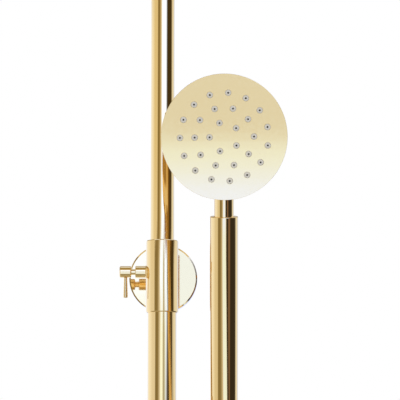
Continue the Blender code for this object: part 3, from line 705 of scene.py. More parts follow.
def make_wall_arm():
    """The short arm, one end fitted to the collar and the other open over the plate's spigot."""
    bore = 6.7
    middle = -COLUMN_Y
    corners = [
        (WALL_ARM_RADIUS, middle - PLATE_THICKNESS - 0.3), (WALL_ARM_RADIUS, 12, 0.2),
        (bore, 12, 0.2), (bore, middle - PLATE_THICKNESS - 0.3),
    ]
    towards_wall = (-QUARTER, 0, 0)
    parts = [saddled(surface(corners), COLLAR_RADIUS, 14, 0)]
    arm = build_object("wall_arm_fine", parts, axis((0, COLUMN_Y, 0), towards_wall), "polished_gold")
    grub = axis((0, -15, 0))
    shape_with(arm, cuts=[tool(rod(2.1, -12, -4), grub)])
    install(arm, "root", "wall_arm")
    corners = [(0, -6.8), (1.8, -6.8), (1.8, -8.8), (1, -8.8, 0.1), (1, -7.8, 0.1), (0, -7.8)]
    fit("arm_grub_screw", "root", corners, grub, "steel", SMALL_SIDES)


# ---- rain head


def arc(radius, start, end, steps):
    """Smooth profile points on a sphere about the origin, between two angles above its equator."""
    angles = [start + (end - start) * step / steps for step in range(steps + 1)]
    return [(radius * math.cos(angle), radius * math.sin(angle), 0) for angle in angles]


def make_ball_joint():
    """Sleeve on the riser's tip, neck and ball."""
    neck = 4.7
    sleeve_bottom = 19
    sleeve_top = TIP_Z - BALL_Z + 8.7
    neck_angle = math.acos(neck / BALL_RADIUS)
    foot_angle = -math.acos(4 / BALL_RADIUS)
    ball = arc(BALL_RADIUS, neck_angle, foot_angle, 20)
    ball[0] = (*ball[0][:2], 0.6)
    ball[-1] = (*ball[-1][:2], 0.2)
    mouth = RISER_RADIUS + 0.15
    corners = [(13, sleeve_top, 0.6), (13, sleeve_bottom, 0.8), (neck, sleeve_bottom, 1.2), *ball]
    stop = TIP_Z - BALL_Z - 0.3
    corners += [(3, ball[-1][1]), (3, stop), (mouth, stop), (mouth, sleeve_top)]
    fit("head_ball_joint", "riser", corners, BALL)


def make_swivel_nut():
    """The nut that holds the ball, with a shallow groove round it."""
    outer = 16.2
    groove = 15.7
    corners = [
        (9.2, 12, 0.4), (outer, 12, 1), (outer, 1.2, 0.15), (groove, 0.7, 0.15),
        (groove, -0.3, 0.15), (outer, -0.8, 0.15), (outer, -19, 0.5), (13.4, -19), (13.4, 9.6),
        (9.2, 9.6),
    ]
    fit("head_swivel_nut", "rain_head", corners, BALL)


def make_rain_shell():
    """Thin spun shell, from the stub in the nut to the turned-down rim."""
    inner = RAIN_RADIUS - 1.6
    corners = [
        (12.6, -7), (12.6, -19.4, 0.3), (20, -19.4, 0.8), (24, -22, 3), (RAIN_RADIUS - 4, -29, 6),
        (RAIN_RADIUS, -31.5, 2), (RAIN_RADIUS, -36, 0.5), (inner, -36, 0.3), (inner, -32.4, 0.5),
        (22, -25), (7, -25), (7, -13.4), (10.2, -13.4), (10.2, -7),
    ]
    fit("rain_shell", "rain_head", corners, BALL, sides=DISC_SIDES)


def ring_centres(rings, turn=0.0):
    """Nozzle positions on concentric rings, each ring starting at its left, a little turned."""
    centres = []
    for radius, count in rings:
        for index in range(count):
            angle = math.pi + turn + 2 * math.pi * index / count
            centres.append((radius * math.cos(angle), radius * math.sin(angle)))
    return centres


def make_faceplate(name, radius, thickness, centres, hole, at):
    """A punched disc from a flat curve, so that its rim and every hole have a soft edge."""
    edge = min(0.2, thickness * 0.3)
    curve = bpy.data.curves.new(name, "CURVE")
    curve.dimensions = "2D"
    curve.fill_mode = "BOTH"
    curve.resolution_u = 48
    curve.extrude = (thickness / 2 - edge) * MM
    curve.bevel_depth = edge * MM
    curve.bevel_resolution = 2
    curve.offset = -edge * MM
    for (x, y), size in [((0, 0), radius)] + [(centre, hole) for centre in centres]:
        add_circle(curve, x, y, size)
    guide = show(name, curve)
    depsgraph = bpy.context.evaluated_depsgraph_get()
    mesh = bpy.data.meshes.new_from_object(guide.evaluated_get(depsgraph))
    bpy.data.objects.remove(guide, do_unlink=True)
    shape = bmesh.new()
    shape.from_mesh(mesh)
    bmesh.ops.remove_doubles(shape, verts=shape.verts, dist=0.00001)
    shape.to_mesh(mesh)
    shape.free()
    mesh.shade_smooth()
    flat = (thickness / 2 - edge) * MM
    facings = [rim_normal(vertex.co, flat, edge * MM, radius, centres) for vertex in mesh.vertices]
    mesh.normals_split_custom_set_from_vertices(facings)
    mesh.materials.clear()
    mesh.materials.append(FINISHES["polished_gold"])
    return show(name, mesh, at)


def rim_normal(place, flat, edge, radius, centres):
    """Outward direction at a point on the rounded edge of the plate or of one of its holes."""
    here = Vector(place.xy)
    out = here.normalized()
    if here.length < (radius - 1) * MM:
        nearest = min(centres, key=lambda centre: (Vector(centre) * MM - here).length)
        out = (Vector(nearest) * MM - here).normalized()
    rise = min(max((abs(place.z) - flat) / edge, 0), 1)
    return Vector((*(out * math.sqrt(1 - rise * rise)), math.copysign(rise, place.z)))


def add_circle(curve, x, y, radius):
    """A circle of four Bezier points."""
    spline = curve.splines.new("BEZIER")
    spline.bezier_points.add(3)
    spline.use_cyclic_u = True
    spline.resolution_u = 48 if radius > 10 else 8
    handle = radius * 0.5523
    for index, point in enumerate(spline.bezier_points):
        angle = index * QUARTER
        out = Vector((math.cos(angle), math.sin(angle), 0))
        along = Vector((-out.y, out.x, 0))
        middle = Vector((x, y, 0)) + out * radius
        point.co = middle * MM
        point.handle_left_type = "FREE"
        point.handle_right_type = "FREE"
        point.handle_left = (middle - along * handle) * MM
        point.handle_right = (middle + along * handle) * MM


def make_nozzle_mat(name, plate_corners, nozzle_corners, centres, at):
    """Silicone mat with a soft nozzle at each centre, each bored with a fine channel whose inside is painted
    dark as shade.
    """
    nozzle = surface(nozzle_corners, SMALL_SIDES)
    parts = [surface(plate_corners, SIDES)]
    parts += [shifted(nozzle, (x, y, 0)) for x, y in centres]
    mat = build_object(name, parts, at, "pale_silicone")
    # faces within each nozzle's channel take the second material, painted shade for the inside of the hole
    mat.data.materials.append(CHANNEL_SHADE)
    channel = nozzle_corners[1][0] * 1.01
    for face in mat.data.polygons:
        middle = face.center / MM
        if any(math.hypot(middle.x - x, middle.y - y) < channel for x, y in centres):
            face.material_index = 1
    return mat


def make_rain_face():
    centres = ring_centres(RAIN_RINGS)
    thickness = RAIN_PLATE_TOP - RAIN_PLATE_BOTTOM
    middle = (RAIN_PLATE_TOP + RAIN_PLATE_BOTTOM) / 2
    at = axis((0, 0, middle), parent=BALL)
    plate = make_faceplate("rain_faceplate_fine", RAIN_RADIUS - 2, thickness, centres, 2.7, at)
    install(plate, "rain_head", "rain_faceplate")
    top = -33
    flipped = axis((0, 0, 0), (math.pi, 0, 0), BALL)
    plate_corners = [(0, -top + 1.1), (RAIN_RADIUS - 2, -top + 1.1), (RAIN_RADIUS - 2, -top), (0, -top)]
    tip = -RAIN_PLATE_BOTTOM + 2
    nozzle_corners = [
        (0, tip - 1.5, 0), (0.5, tip - 1.5, 0), (0.5, tip - 0.05, 0.12), (1.1, tip, 0.3),
        (1.75, tip - 0.1, 0.6), (2.3, -top + 1, 0), (0, -top + 1, 0),
    ]
    mirrored = [(x, -y) for x, y in centres]
    mat = make_nozzle_mat("rain_nozzle_mat_fine", plate_corners, nozzle_corners, mirrored, flipped)
    install(mat, "rain_head", "rain_nozzle_mat", slot="pale_silicone")


# ---- slider and holder


def make_slider():
    """The cross-bored block, its nylon liner, and the pivot screw's head and washer."""
    corners = [
        (0, SLIDER_HALF), (SLIDER_RADIUS, SLIDER_HALF, 1.2), (SLIDER_RADIUS, -SLIDER_HALF, 1.2),
        (0, -SLIDER_HALF),
    ]
    body = turned("slider_body_fine", corners, axis((0, 0, 0), TO_THE_LEFT, SLIDER))
    bore = tool(rod(LINER_RADIUS + 0.3, -30, 30), SLIDER)
    stem = tool(rod(STEM_RADIUS + 0.4, 8, 30), axis((0, 0, 0), TO_THE_LEFT, SLIDER))
    pivot_hole = tool(rod(4.4, 8, 30), axis((0, 0, 0), TO_THE_RIGHT, SLIDER))
    shape_with(body, cuts=[bore, stem, pivot_hole], bevel=0.3)
    install(body, "slider", "slider_body")
    height = 15
    corners = [(LINER_RADIUS, height, 0.5), (LINER_RADIUS, -height, 0.5)]
    corners += [(LINER_BORE, -height, 0.3), (LINER_BORE, height, 0.3)]
    liner = turned("slider_liner_fine", corners, SLIDER, "white_nylon")
    shape_with(liner, cuts=[block((-1, 5, -20), (1, 20, 20), SLIDER)])
    install(liner, "slider_sleeve", "slider_liner", slot="white_nylon")
    right = axis((0, 0, 0), TO_THE_RIGHT, SLIDER)
    head = HUB_END - 4.6
    corners = [(0, head + 2.4), (2.6, head + 2.4, 0.1), (2.6, head + 4.2, 0.3)]
    corners += [(PIVOT_HEAD_RADIUS, head + 4.2, 0.7), (PIVOT_HEAD_RADIUS, head)]
    corners += [(4, head), (4, 15.2), (0, 15.2)]
    fit("holder_pivot", "slider", corners, right, sides=SMOOTH_SIDES)
    corners = [(10, 23.4, 0.2), (10, 22.4, 0.2), (4.4, 22.4), (4.4, 23.4)]
    fit("holder_washer", "slider", corners, right, "white_nylon")


def tail_radius(along):
    """Radius of the hand shower's conical tail at a distance along the handle."""
    share = (along - TAIL_BOTTOM) / (TAIL_TOP - 2 - TAIL_BOTTOM)
    return TAIL_BOTTOM_RADIUS + (TAIL_TOP_RADIUS - TAIL_BOTTOM_RADIUS) * share


def make_holder():
    """Hub and conical cup, with the slot that the hose passes through."""
    right = axis((0, 0, 0), TO_THE_RIGHT, SLIDER)
    hub_corners = [(0, HUB_END), (HUB_RADIUS, HUB_END, 1), (HUB_RADIUS, HUB_START, 1), (0, HUB_START)]
    cup = turned("holder_cup_fine", hub_corners, right)
    barrel_corners = [(0, CUP_HALF), (CUP_RADIUS, CUP_HALF, 1), (CUP_RADIUS, -CUP_HALF, 1), (0, -CUP_HALF)]
    barrel = tool(barrel_corners, HANDSET)
    reach = CUP_HALF + 4
    cone_corners = [
        (0, reach), (tail_radius(reach) + CUP_CLEARANCE, reach, 0.0001),
        (tail_radius(-reach) + CUP_CLEARANCE, -reach, 0.0001), (0, -reach),
    ]
    cone = tool(cone_corners, HANDSET)
    slot = block((-HOSE_SLOT / 2, -30, -reach), (HOSE_SLOT / 2, 0, reach), HANDSET)
    bore = tool(rod(4.4, 20, 45), right)
    recess = tool(rod(PIVOT_HEAD_RADIUS + 0.4, HUB_END - 5, HUB_END + 3), right)
    shape_with(cup, joins=[barrel], cuts=[cone, slot, bore, recess], bevel=0.35)
    install(cup, "holder", "holder_cup")


# ---- hand shower


def threaded(radius, top, bottom, depth=THREAD_DEPTH):
    """The corners of a row of rounded thread crests, going down."""
    corners = []
    crest = top
    while crest - THREAD_PITCH > bottom:
        corners += [(radius, crest - THREAD_PITCH * 0.15, 0.15), (radius, crest - THREAD_PITCH * 0.35, 0.15)]
        root = radius - depth
        corners += [(root, crest - THREAD_PITCH * 0.65, 0.12), (root, crest - THREAD_PITCH * 0.85, 0.12)]
        crest -= THREAD_PITCH
    return corners


def make_handle():
    """Tail cone, threaded inlet and stick handle."""
    bore = 9.4
    corners = [
        (bore, TAIL_TOP, 0.1), (HANDLE_RADIUS, TAIL_TOP, 0.2), (TAIL_TOP_RADIUS, TAIL_TOP - 2, 0.8),
        (TAIL_BOTTOM_RADIUS, TAIL_BOTTOM, 0.5), (bore, TAIL_BOTTOM, 0.2),
    ]
    fit("hand_tail_cone", "hand_tail", corners, HANDSET)
    shoulder = TAIL_BOTTOM - 0.3
    corners = [(9, 30), (9, shoulder), (INLET_RADIUS, shoulder)]
    corners += threaded(INLET_RADIUS, shoulder - 1.5, INLET_BOTTOM + 0.5)
    corners += [(INLET_RADIUS - THREAD_DEPTH, INLET_BOTTOM, 0.3), (6, INLET_BOTTOM, 0.3), (6, 30)]
    fit("hand_inlet", "hand_shower", corners, HANDSET, "raw_brass")
    wall = 1.9
    top_wall = 2.6
    neck_hole = NECK_RADIUS + 0.12
    corners = [
        (neck_hole, HANDLE_TOP, 0.15), (HANDLE_RADIUS, HANDLE_TOP, 0.7),
        (HANDLE_RADIUS, TAIL_TOP + 0.3, 0.3), (HANDLE_RADIUS - wall, TAIL_TOP + 0.3),
        (HANDLE_RADIUS - wall, HANDLE_TOP - top_wall), (neck_hole, HANDLE_TOP - top_wall),
    ]
    fit("hand_handle", "hand_shower", corners, HANDSET)


def dome(radius, depth, base, steps):
    """Quarter ellipse from the rim at the base down to the axis, as smooth points."""
    angles = [QUARTER * step / steps for step in range(steps)]
    points = [(radius * math.cos(angle), base - depth * math.sin(angle), 0) for angle in angles]
    return [*points, (0, base - depth)]


def nozzle_dome(radius, height, base, mouth):
    """The rounded shoulder of a nozzle, from its mouth down to its base, as smooth points."""
    steps = 8
    start = math.acos(mouth / radius)
    angles = [start * (1 - step / steps) for step in range(steps + 1)]
    return [(radius * math.cos(angle), base + height * math.sin(angle), 0) for angle in angles]


def make_hand_head():
    """Domed back shell, its neck, and the face with its thirty nozzles."""
    wall = 1.8
    lip = DISC_FACE - 0.4
    inner = dome(DISC_RADIUS - wall, DISC_EDGE + DISC_BACK - wall, DISC_EDGE, 24)[::-1]
    corners = [*inner, (DISC_RADIUS - wall, 7.9), (DISC_RADIUS - 1, 7.9), (DISC_RADIUS - 1, lip)]
    corners += [(DISC_RADIUS, lip, 0.6), *dome(DISC_RADIUS, DISC_EDGE + DISC_BACK, DISC_EDGE, 32)]
    fit("hand_shell", "hand_shower", corners, SPRAY, sides=DISC_SIDES)
    low = HANDLE_TOP - 9
    neck_corners = [(0, DISC_AT - 40), (NECK_RADIUS, DISC_AT - 40), (NECK_RADIUS, low), (0, low)]
    neck = turned("hand_neck_fine", neck_corners, HANDSET)
    install(neck, "hand_shower", "hand_shell")
    centres = ring_centres(HAND_RINGS, HAND_RING_TURN)
    low = lip + 0.02
    middle = axis((0, 0, (low + DISC_FACE) / 2), parent=SPRAY)
    hole = NOZZLE_RADIUS + 0.05
    plate = make_faceplate("hand_faceplate_fine", DISC_RADIUS - 0.1, DISC_FACE - low, centres, hole, middle)
    install(plate, "hand_shower", "hand_faceplate")
    plate_corners = [(0, 7.9), (DISC_RADIUS - wall - 0.3, 7.9), (DISC_RADIUS - wall - 0.3, 6.7), (0, 6.7)]
    channel = 0.75
    nozzle_corners = [(0, DISC_FACE - 0.6, 0), (channel, DISC_FACE - 0.6, 0)]
    nozzle_corners += [(channel, DISC_FACE + 0.95, 0.12)]
    nozzle_corners += nozzle_dome(NOZZLE_RADIUS, 0.9, DISC_FACE + 0.1, 1.05)
    nozzle_corners += [(NOZZLE_RADIUS, 7, 0), (0, 7, 0)]
    mat = make_nozzle_mat("hand_nozzle_mat_fine", plate_corners, nozzle_corners, centres, SPRAY)
    install(mat, "hand_shower", "hand_nozzle_mat", slot="pale_silicone")


# ---- mixer


def make_mixer_body():
    """The bar with its three stubs."""
    right = axis((0, 0, 0), TO_THE_RIGHT, MIXER)
    corners = [(0, MIXER_HALF), (MIXER_RADIUS, MIXER_HALF, 0.6)]
    corners += [(MIXER_RADIUS, -MIXER_HALF, 0.6), (0, -MIXER_HALF)]
    body = turned("mixer_body_fine", corners, right, sides=WIDE_SIDES)
    stubs = [tool(rod(STUB_RADIUS, 0, LOWER_BOTTOM - 2.6 - MIXER_Z, 0.4), MIXER)]
    into_wall = (-QUARTER, 0, 0)
    for side in (-1, 1):
        at = axis((side * INLET_SPACING / 2, 0, 0), into_wall, MIXER)
        stubs.append(tool(rod(STUB_RADIUS, 0, -COLUMN_Y - STUB_END, 0.4), at))
    shape_with(body, joins=stubs, bevel=0.3)
    install(body, "root", "mixer_body")


def make_inlet(prefix, x):
    """Offset union, bevelled hexagon nut and escutcheon on one water inlet."""
    wall = axis((x, 0, MIXER_Z), OUT_OF_THE_WALL)
    flange_front = STUB_END - 2.6
    corners = [(0, flange_front), (UNION_SEAT_RADIUS, flange_front), (UNION_SEAT_RADIUS, flange_front - 2.5)]
    corners += [(UNION_RADIUS, flange_front - 2.5), (UNION_RADIUS, 8), (0, 8)]
    union = turned(prefix + "_union_fine", corners, wall)
    root = axis((0, -INLET_OFFSET, 0), parent=wall)
    root_corners = [(0, 9.5), (UNION_RADIUS, 9.5), *threaded(UNION_RADIUS, 8, 0.3, 0.8)]
    root_corners += [(UNION_RADIUS - 0.8, 0), (0, 0)]
    way = tool(rod(6, -5, 60), root)
    shape_with(union, joins=[tool(root_corners, root)], cuts=[way])
    install(union, "root", prefix + "_union")
    gasket_corners = [(UNION_SEAT_RADIUS, STUB_END - 0.3), (UNION_SEAT_RADIUS, STUB_END - 2.3)]
    gasket_corners += [(8, STUB_END - 2.3), (8, STUB_END - 0.3)]
    fit(prefix + "_gasket", "root", gasket_corners, wall, "black_rubber")
    make_hexagon(prefix, wall)
    hole = UNION_RADIUS + 0.4
    skin = 1.2
    corners = [
        (hole, ESCUTCHEON_DEPTH, 0.2), (hole + 5, ESCUTCHEON_DEPTH, 3),
        (ESCUTCHEON_RADIUS - 3.5, ESCUTCHEON_DEPTH - 1.2, 5), (ESCUTCHEON_RADIUS, 4.5, 3),
        (ESCUTCHEON_RADIUS, 0, 0.2), (ESCUTCHEON_RADIUS - skin, 0, 0.2),
        (ESCUTCHEON_RADIUS - skin, 4, 3), (ESCUTCHEON_RADIUS - 5, ESCUTCHEON_DEPTH - 1.2 - skin, 5),
        (hole + 5, ESCUTCHEON_DEPTH - skin, 3), (hole, ESCUTCHEON_DEPTH - skin, 0.2),
    ]
    fit(prefix + "_escutcheon", "root", corners, wall)


def make_hexagon(prefix, wall):
    """A hexagon nut: a six-sided bar turned down at both ends and bored."""
    across_corners = 17.3
    low = STUB_END - 8.1
    high = STUB_END + 6.5
    shape = bmesh.new()
    bmesh.ops.create_cone(
        shape,
        cap_ends=True,
        segments=6,
        radius1=across_corners * MM,
        radius2=across_corners * MM,
        depth=(high - low) * MM,
        matrix=Matrix.Translation((0, 0, (low + high) / 2 * MM)),
    )
    nut = show(prefix + "_nut_fine", as_mesh(shape, prefix + "_nut_fine"), wall)
    nut.data.materials.append(FINISHES["polished_gold"])
    chamfer = [
        (0, high), (15.4, high, 0.1), (across_corners + 0.5, high - 1.9, 0.1),
        (across_corners + 0.5, low + 1.9, 0.1), (15.4, low, 0.1), (0, low),
    ]
    trim = nut.modifiers.new("Chamfer", "BOOLEAN")
    trim.operation = "INTERSECT"
    trim.object = tool(chamfer, wall)
    wide = tool(rod(NUT_BORE, STUB_END - 5.4, 50), wall)
    narrow = tool(rod(UNION_RADIUS + 0.4, 10, 50), wall)
    shape_with(nut, cuts=[wide, narrow], bevel=0.25)
    bpy.data.objects.remove(bpy.data.objects["tool"], do_unlink=True)
    install(nut, "root", prefix + "_nut")


def make_control(prefix, body, cartridge, turn, button=False):
    """A handle with its slim lever, a shadow groove round it, and the cartridge behind it."""
    at = axis((0, 0, 0), turn, MIXER)
    start = MIXER_HALF + 0.6
    groove = start + 4
    corners = [
        (0, HANDLE_END), (MIXER_RADIUS, HANDLE_END, 1.4), (MIXER_RADIUS, groove + 1, 0.15),
        (MIXER_RADIUS - 0.5, groove + 0.6, 0.1), (MIXER_RADIUS - 0.5, groove + 0.4, 0.1),
        (MIXER_RADIUS, groove, 0.15), (MIXER_RADIUS, start, 0.5), (MIXER_RADIUS - 2.2, start),
        (MIXER_RADIUS - 2.2, 108), (8.5, 108), (8.5, 100), (4.9, 100), (4.9, 112.5), (0, 112.5),
    ]
    handle = turned(prefix + "_handle_fine", corners, at)
    if button:
        well = tool(rod(3.5, 14, 25), axis((BUTTON_AT, 0, 0), parent=MIXER))
        shape_with(handle, cuts=[well])
    install(handle, body, prefix + "_handle")
    side = 1 if turn == TO_THE_RIGHT else -1
    lever_at = axis((side * 126, 0, 0), OUT_OF_THE_WALL, MIXER)
    corners = [(0, MIXER_RADIUS + 24), (2.2, MIXER_RADIUS + 24, 1.6), (1.75, MIXER_RADIUS, 0.3)]
    corners += [(1.75, MIXER_RADIUS - 2), (0, MIXER_RADIUS - 2)]
    lever = turned(prefix + "_lever_pin_fine", corners, lever_at, sides=PIN_SIDES)
    install(lever, body, prefix + "_handle")
    corners = [(0, 112), (4.5, 112), (4.5, 96.3), (9, 96.3), (9, 94), (15.6, 94), (15.6, 52), (0, 52)]
    fit(cartridge, "root", corners, at, "raw_brass", PIN_SIDES)


def make_button():
    corners = [(0, 22.6), (3.1, 22.6, 0.6), (3.1, 17), (0, 17)]
    at = axis((BUTTON_AT, 0, 0), parent=MIXER)
    fit("temperature_button", "stop_button", corners, at, "black_rubber", PIN_SIDES)


def make_mixer_outlets():
    """Union nut and gasket under the column, and the threaded outlet for the hose."""
    corners = [(12, LOWER_BOTTOM - 0.3), (12, LOWER_BOTTOM - 2.3), (9.4, LOWER_BOTTOM - 2.3)]
    corners += [(9.4, LOWER_BOTTOM - 0.3)]
    fit("column_gasket", "root", corners, COLUMN, "black_rubber")
    top = LOWER_BOTTOM + 6
    corners = [
        (LOWER_RADIUS + 0.4, top, 0.2), (17, top, 1.4), (17, LOWER_BOTTOM - 16, 0.6),
        (NUT_BORE, LOWER_BOTTOM - 16), (NUT_BORE, LOWER_BOTTOM + 2),
        (LOWER_RADIUS + 0.4, LOWER_BOTTOM + 2),
    ]
    fit("column_nut", "root", corners, COLUMN)
    flange_top = -MIXER_RADIUS - 0.3
    corners = [(7.2, -12), (7.2, flange_top), (13, flange_top, 0.2), (13, flange_top - 2.5, 0.6)]
    corners += [(INLET_RADIUS, flange_top - 2.5)]
    corners += threaded(INLET_RADIUS, flange_top - 3, -35.5)
    corners += [(INLET_RADIUS - THREAD_DEPTH, -36, 0.3), (5, -36, 0.4), (5, -12)]
    fit("hose_outlet", "root", corners, MIXER, "raw_brass")


# ---- inner pieces

INNER_FINISHES = {
    "raw_brass": ("riser_piston",),
    "steel": ("head_strainer",),
    "white_nylon": ("collar_bush", "head_ball_seat", "hand_restrictor", "clamp_pad", "slider_pad"),
    "black_rubber": ("riser_seal_upper", "riser_seal_lower", "head_washer", "hand_neck_seal"),
}


def finish_inner_pieces():
    """The CAD's own inner pieces stay as they are, with the same finishes as the outer ones."""
    for finish, nodes in INNER_FINISHES.items():
        for node in nodes:
            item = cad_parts[node]
            item.data.materials.clear()
            item.data.materials.append(FINISHES[finish])


# ---- studio

# Soft cards and dark flags round the object, painted over each other in this order. Angles are in
# degrees: azimuth is 0 towards the user and grows to the right, elevation is above the horizon.
# name: (left edge, softness), (right edge, softness), (low edge, high edge, softness), colour
ROOM = (0.82, 0.86, 0.97)
SKY_LIGHT = (1.22, 1.20, 1.15)
GROUND_LIGHT = (0.70, 0.69, 0.67)
# below this elevation, and for this many degrees, the cards fan out round one azimuth by a share a degree
FAN_START = -18.8
FAN_DEPTH = 5
FAN_CENTRE = -50
FAN = 0.044
CARDS = {
    "upper room": ((-120, 10), (120, 10), (7, 60, 3), (0.79, 0.76, 0.64)),
    "lower room": ((-120, 10), (120, 10), (-70, -7, 3), (0.76, 0.77, 0.76)),
    "ceiling": ((-115, 10), (115, 10), (46, 100, 6), (0.40, 0.34, 0.20)),
    "left top card": ((-200, 1), (-112, 10), (38, 100, 8), (0.88, 1.04, 1.55)),
    "right top card": ((112, 10), (200, 1), (38, 100, 8), (0.88, 1.04, 1.55)),
    "floor": ((-200, 1), (200, 1), (-100, -66, 5), (0.43, 0.42, 0.36)),
    "left rear card": ((-200, 1), (-92, 20), (-50, 15, 3), (0.98, 1.08, 1.35)),
    "far left card": ((-200, 1), (-126, 14), (-50, 15, 3), (1.0, 1.17, 1.65)),
    "right rear card": ((96, 10), (200, 1), (-50, 15, 3), (0.86, 0.94, 1.12)),
    "far right card": ((132, 12), (200, 1), (-50, 15, 3), (0.80, 0.95, 1.4)),
    "left rear flag": ((-200, 1), (-92, 14), (17, 60, 4), (0.40, 0.35, 0.26)),
    "right rear flag": ((140, 14), (200, 1), (17, 60, 4), (0.40, 0.35, 0.26)),
    "left flag": ((-54, 5), (-23, 12), (-30, 7.4, 0.5), (0.26, 0.22, 0.12)),
    "upper left flag": ((-46, 5), (-20, 13), (7.0, 34, 0.6), (0.26, 0.21, 0.10)),
    "key card": ((-7.5, 8), (50, 4), (1.5, 34, 1), (1.12, 1.58, 3.4)),
    "key middle": ((-14, 5), (34, 4), (5.6, 7.1, 0.4), (1.12, 1.58, 3.4)),
    "key foot": ((-12, 4), (30, 4), (1.5, 5.2, 0.9), (1.06, 1.36, 1.9)),
    "key gap": ((7, 3), (18, 4), (-6, 7.2, 0.7), (0.54, 0.58, 0.60)),
    "key gap foot": ((14, 3), (22, 4), (-6, 5.2, 0.8), (0.50, 0.56, 0.64)),
    "window": ((-1.4, 0.5), (1.5, 1), (4.6, 7.6, 0.8), (0.945, 1.31, 2.5)),
    "table edge": ((-14, 6), (16, 5), (-5, 1.5, 1), (0.50, 0.50, 0.42)),
    "front card": ((-12, 6), (14, 5), (-13, -4, 1), (1.1, 1.5, 3.0)),
    "horizon": ((-12, 6), (14, 5), (-16, -13.2, 0.4), (0.80, 0.93, 1.22)),
    "low card": ((-12, 6), (12, 5), (-43, -15.85, 0.3), (0.93, 1.22, 1.85)),
    "lower card": ((-12, 6), (12, 5), (-43, -16.95, 0.75), (0.945, 1.31, 2.9)),
    "handle card": ((-12, 6), (14, 5), (-43, -18.4, 0.3), (0.94, 1.27, 1.95)),
    "floor line": ((-115, 10), (115, 10), (-66, -45, 5), (0.31, 0.29, 0.22)),
    "right flag": ((17, 4), (110, 9), (-45, 1, 6), (0.04, 0.035, 0.03)),
    "brown edge": ((35, 3), (51, 5), (-30, 1, 6), (0.22, 0.15, 0.12)),
    "upper right flag": ((40.5, 9), (92, 9), (-2, 34, 4), (0.06, 0.045, 0.02)),
    "high right flag": ((70, 6), (102, 12), (7.1, 34, 0.5), (0.06, 0.045, 0.02)),
    "middle right flag": ((36.5, 5), (60, 5), (5.7, 7.0, 0.3), (0.06, 0.045, 0.02)),
    "brown card": ((21, 7), (66, 12), (7.0, 9.8, 0.25), (0.33, 0.18, 0.04)),
}


def angle_nodes(tree):
    """Azimuth, fanned out low down, and elevation of the direction looked in, in degrees."""
    place = tree.nodes.new("ShaderNodeTexCoord")
    split = tree.nodes.new("ShaderNodeSeparateXYZ")
    tree.links.new(place.outputs["Generated"], split.inputs["Vector"])
    towards_user = calculate(tree, "MULTIPLY", split.outputs["Y"], -1)
    turn = calculate(tree, "ARCTAN2", split.outputs["X"], towards_user)
    rise = calculate(tree, "ARCSINE", split.outputs["Z"])
    azimuth = calculate(tree, "DEGREES", turn)
    elevation = calculate(tree, "DEGREES", rise)
    depth = calculate(tree, "SUBTRACT", FAN_START, elevation)
    depth = calculate(tree, "MAXIMUM", depth, 0)
    depth = calculate(tree, "MINIMUM", depth, FAN_DEPTH)
    fan = calculate(tree, "MULTIPLY", depth, FAN)
    spread = calculate(tree, "MULTIPLY", calculate(tree, "SUBTRACT", azimuth, FAN_CENTRE), fan)
    return calculate(tree, "SUBTRACT", azimuth, spread), elevation


def calculate(tree, operation, *values):
    """A Math node on sockets or plain numbers."""
    node = tree.nodes.new("ShaderNodeMath")
    node.operation = operation
    for socket, value in zip(node.inputs, values):
        if isinstance(value, bpy.types.NodeSocket):
            tree.links.new(value, socket)
        else:
            socket.default_value = value
    return node.outputs["Value"]


def soft_edge(tree, value, edge, softness, rising):
    """A smooth step up or down across an edge."""
    step = tree.nodes.new("ShaderNodeMapRange")
    step.interpolation_type = "SMOOTHSTEP"
    set_inputs(step, {"From Min": edge - softness, "From Max": edge + softness})
    set_inputs(step, {"To Min": 0 if rising else 1, "To Max": 1 if rising else 0})
    tree.links.new(value, step.inputs["Value"])
    return step.outputs["Result"]


def paint_card(tree, under, azimuth, elevation, left, right, band, colour):
    """Paints one card over what is there."""
    low, high, softness = band
    edges = [
        soft_edge(tree, azimuth, *left, True),
        soft_edge(tree, azimuth, *right, False),
        soft_edge(tree, elevation, low, softness, True),
        soft_edge(tree, elevation, high, softness, False),
    ]
    mask = edges[0]
    for edge in edges[1:]:
        mask = calculate(tree, "MULTIPLY", mask, edge)
    return mix_colours(tree, mask, under, colour)


def make_world():
    """The studio as a world: cards for the reflections, plain white behind the object."""
    world = bpy.data.worlds.new("studio")
    world.use_nodes = True
    tree = world.node_tree
    tree.nodes.clear()
    azimuth, elevation = angle_nodes(tree)
    light = ROOM
    for left, right, band, colour in CARDS.values():
        light = paint_card(tree, light, azimuth, elevation, left, right, band, colour)
    rays = tree.nodes.new("ShaderNodeLightPath")
    upward = soft_edge(tree, elevation, 0, 70, True)
    soft_light = mix_colours(tree, upward, GROUND_LIGHT, SKY_LIGHT)
    light = mix_colours(tree, rays.outputs["Is Diffuse Ray"], light, soft_light)
    light = mix_colours(tree, rays.outputs["Is Camera Ray"], light, (1, 1, 1))
    background = tree.nodes.new("ShaderNodeBackground")
    output = tree.nodes.new("ShaderNodeOutputWorld")
    tree.links.new(light, background.inputs["Color"])
    tree.links.new(background.outputs["Background"], output.inputs["Surface"])
    bpy.context.scene.world = world


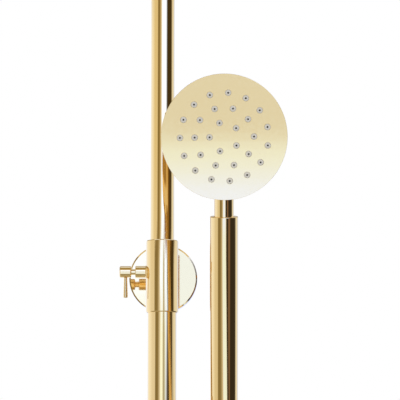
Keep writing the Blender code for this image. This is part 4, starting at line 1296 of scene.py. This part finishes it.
def floor_material():
    """Pale floor that fades out towards its edge, so that it has no visible border."""
    material = new_material("pale_floor", (0.86, 0.86, 0.85), 0.7, 0)
    vary_roughness(material, noise(material, 3, 3), 0.6, 0.8)
    tree = material.node_tree
    tree.nodes["Principled BSDF"].inputs["Specular IOR Level"].default_value = 0
    place = tree.nodes.new("ShaderNodeTexCoord")
    length = tree.nodes.new("ShaderNodeVectorMath")
    length.operation = "LENGTH"
    tree.links.new(place.outputs["Object"], length.inputs[0])
    edge = FLOOR_RADIUS * MM
    fade = soft_edge(tree, length.outputs["Value"], edge * 0.7, edge * 0.28, False)
    tree.links.new(fade, tree.nodes["Principled BSDF"].inputs["Alpha"])
    return material


def make_floor():
    shape = bmesh.new()
    bmesh.ops.create_circle(shape, cap_ends=True, segments=SIDES, radius=FLOOR_RADIUS * MM)
    floor = show("floor", as_mesh(shape, "floor"), axis((0, COLUMN_Y, FLOOR_Z)))
    floor.data.materials.append(floor_material())
    floor.visible_glossy = False


def make_camera():
    data = bpy.data.cameras.new("camera")
    data.lens = LENS
    data.sensor_width = SENSOR
    data.clip_start = 0.05
    data.clip_end = 50
    camera = show("camera", data, axis(CAMERA_AT, (QUARTER + CAMERA_RISE, 0, 0)))
    bpy.context.scene.camera = camera
    bpy.context.scene.view_settings.view_transform = "Standard"


def build():
    make_riser_tube()
    make_lower_tube()
    make_collar()
    make_boss()
    make_lock("clamp", 12.5, 0, "clamp_handle")
    make_wall_bracket()
    make_ball_joint()
    make_swivel_nut()
    make_rain_shell()
    make_rain_face()
    make_slider()
    make_lock("slider", 14.1, SLIDER_Z, "slider_handle")
    make_holder()
    make_handle()
    make_hand_head()
    make_mixer_body()
    make_inlet("hot", -INLET_SPACING / 2)
    make_inlet("cold", INLET_SPACING / 2)
    make_control("temperature", "temperature", "thermostat_cartridge", TO_THE_RIGHT, True)
    make_control("diverter", "diverter", "diverter_cartridge", TO_THE_LEFT)
    make_button()
    make_mixer_outlets()
    finish_inner_pieces()
    make_world()
    make_floor()
    make_camera()


build()
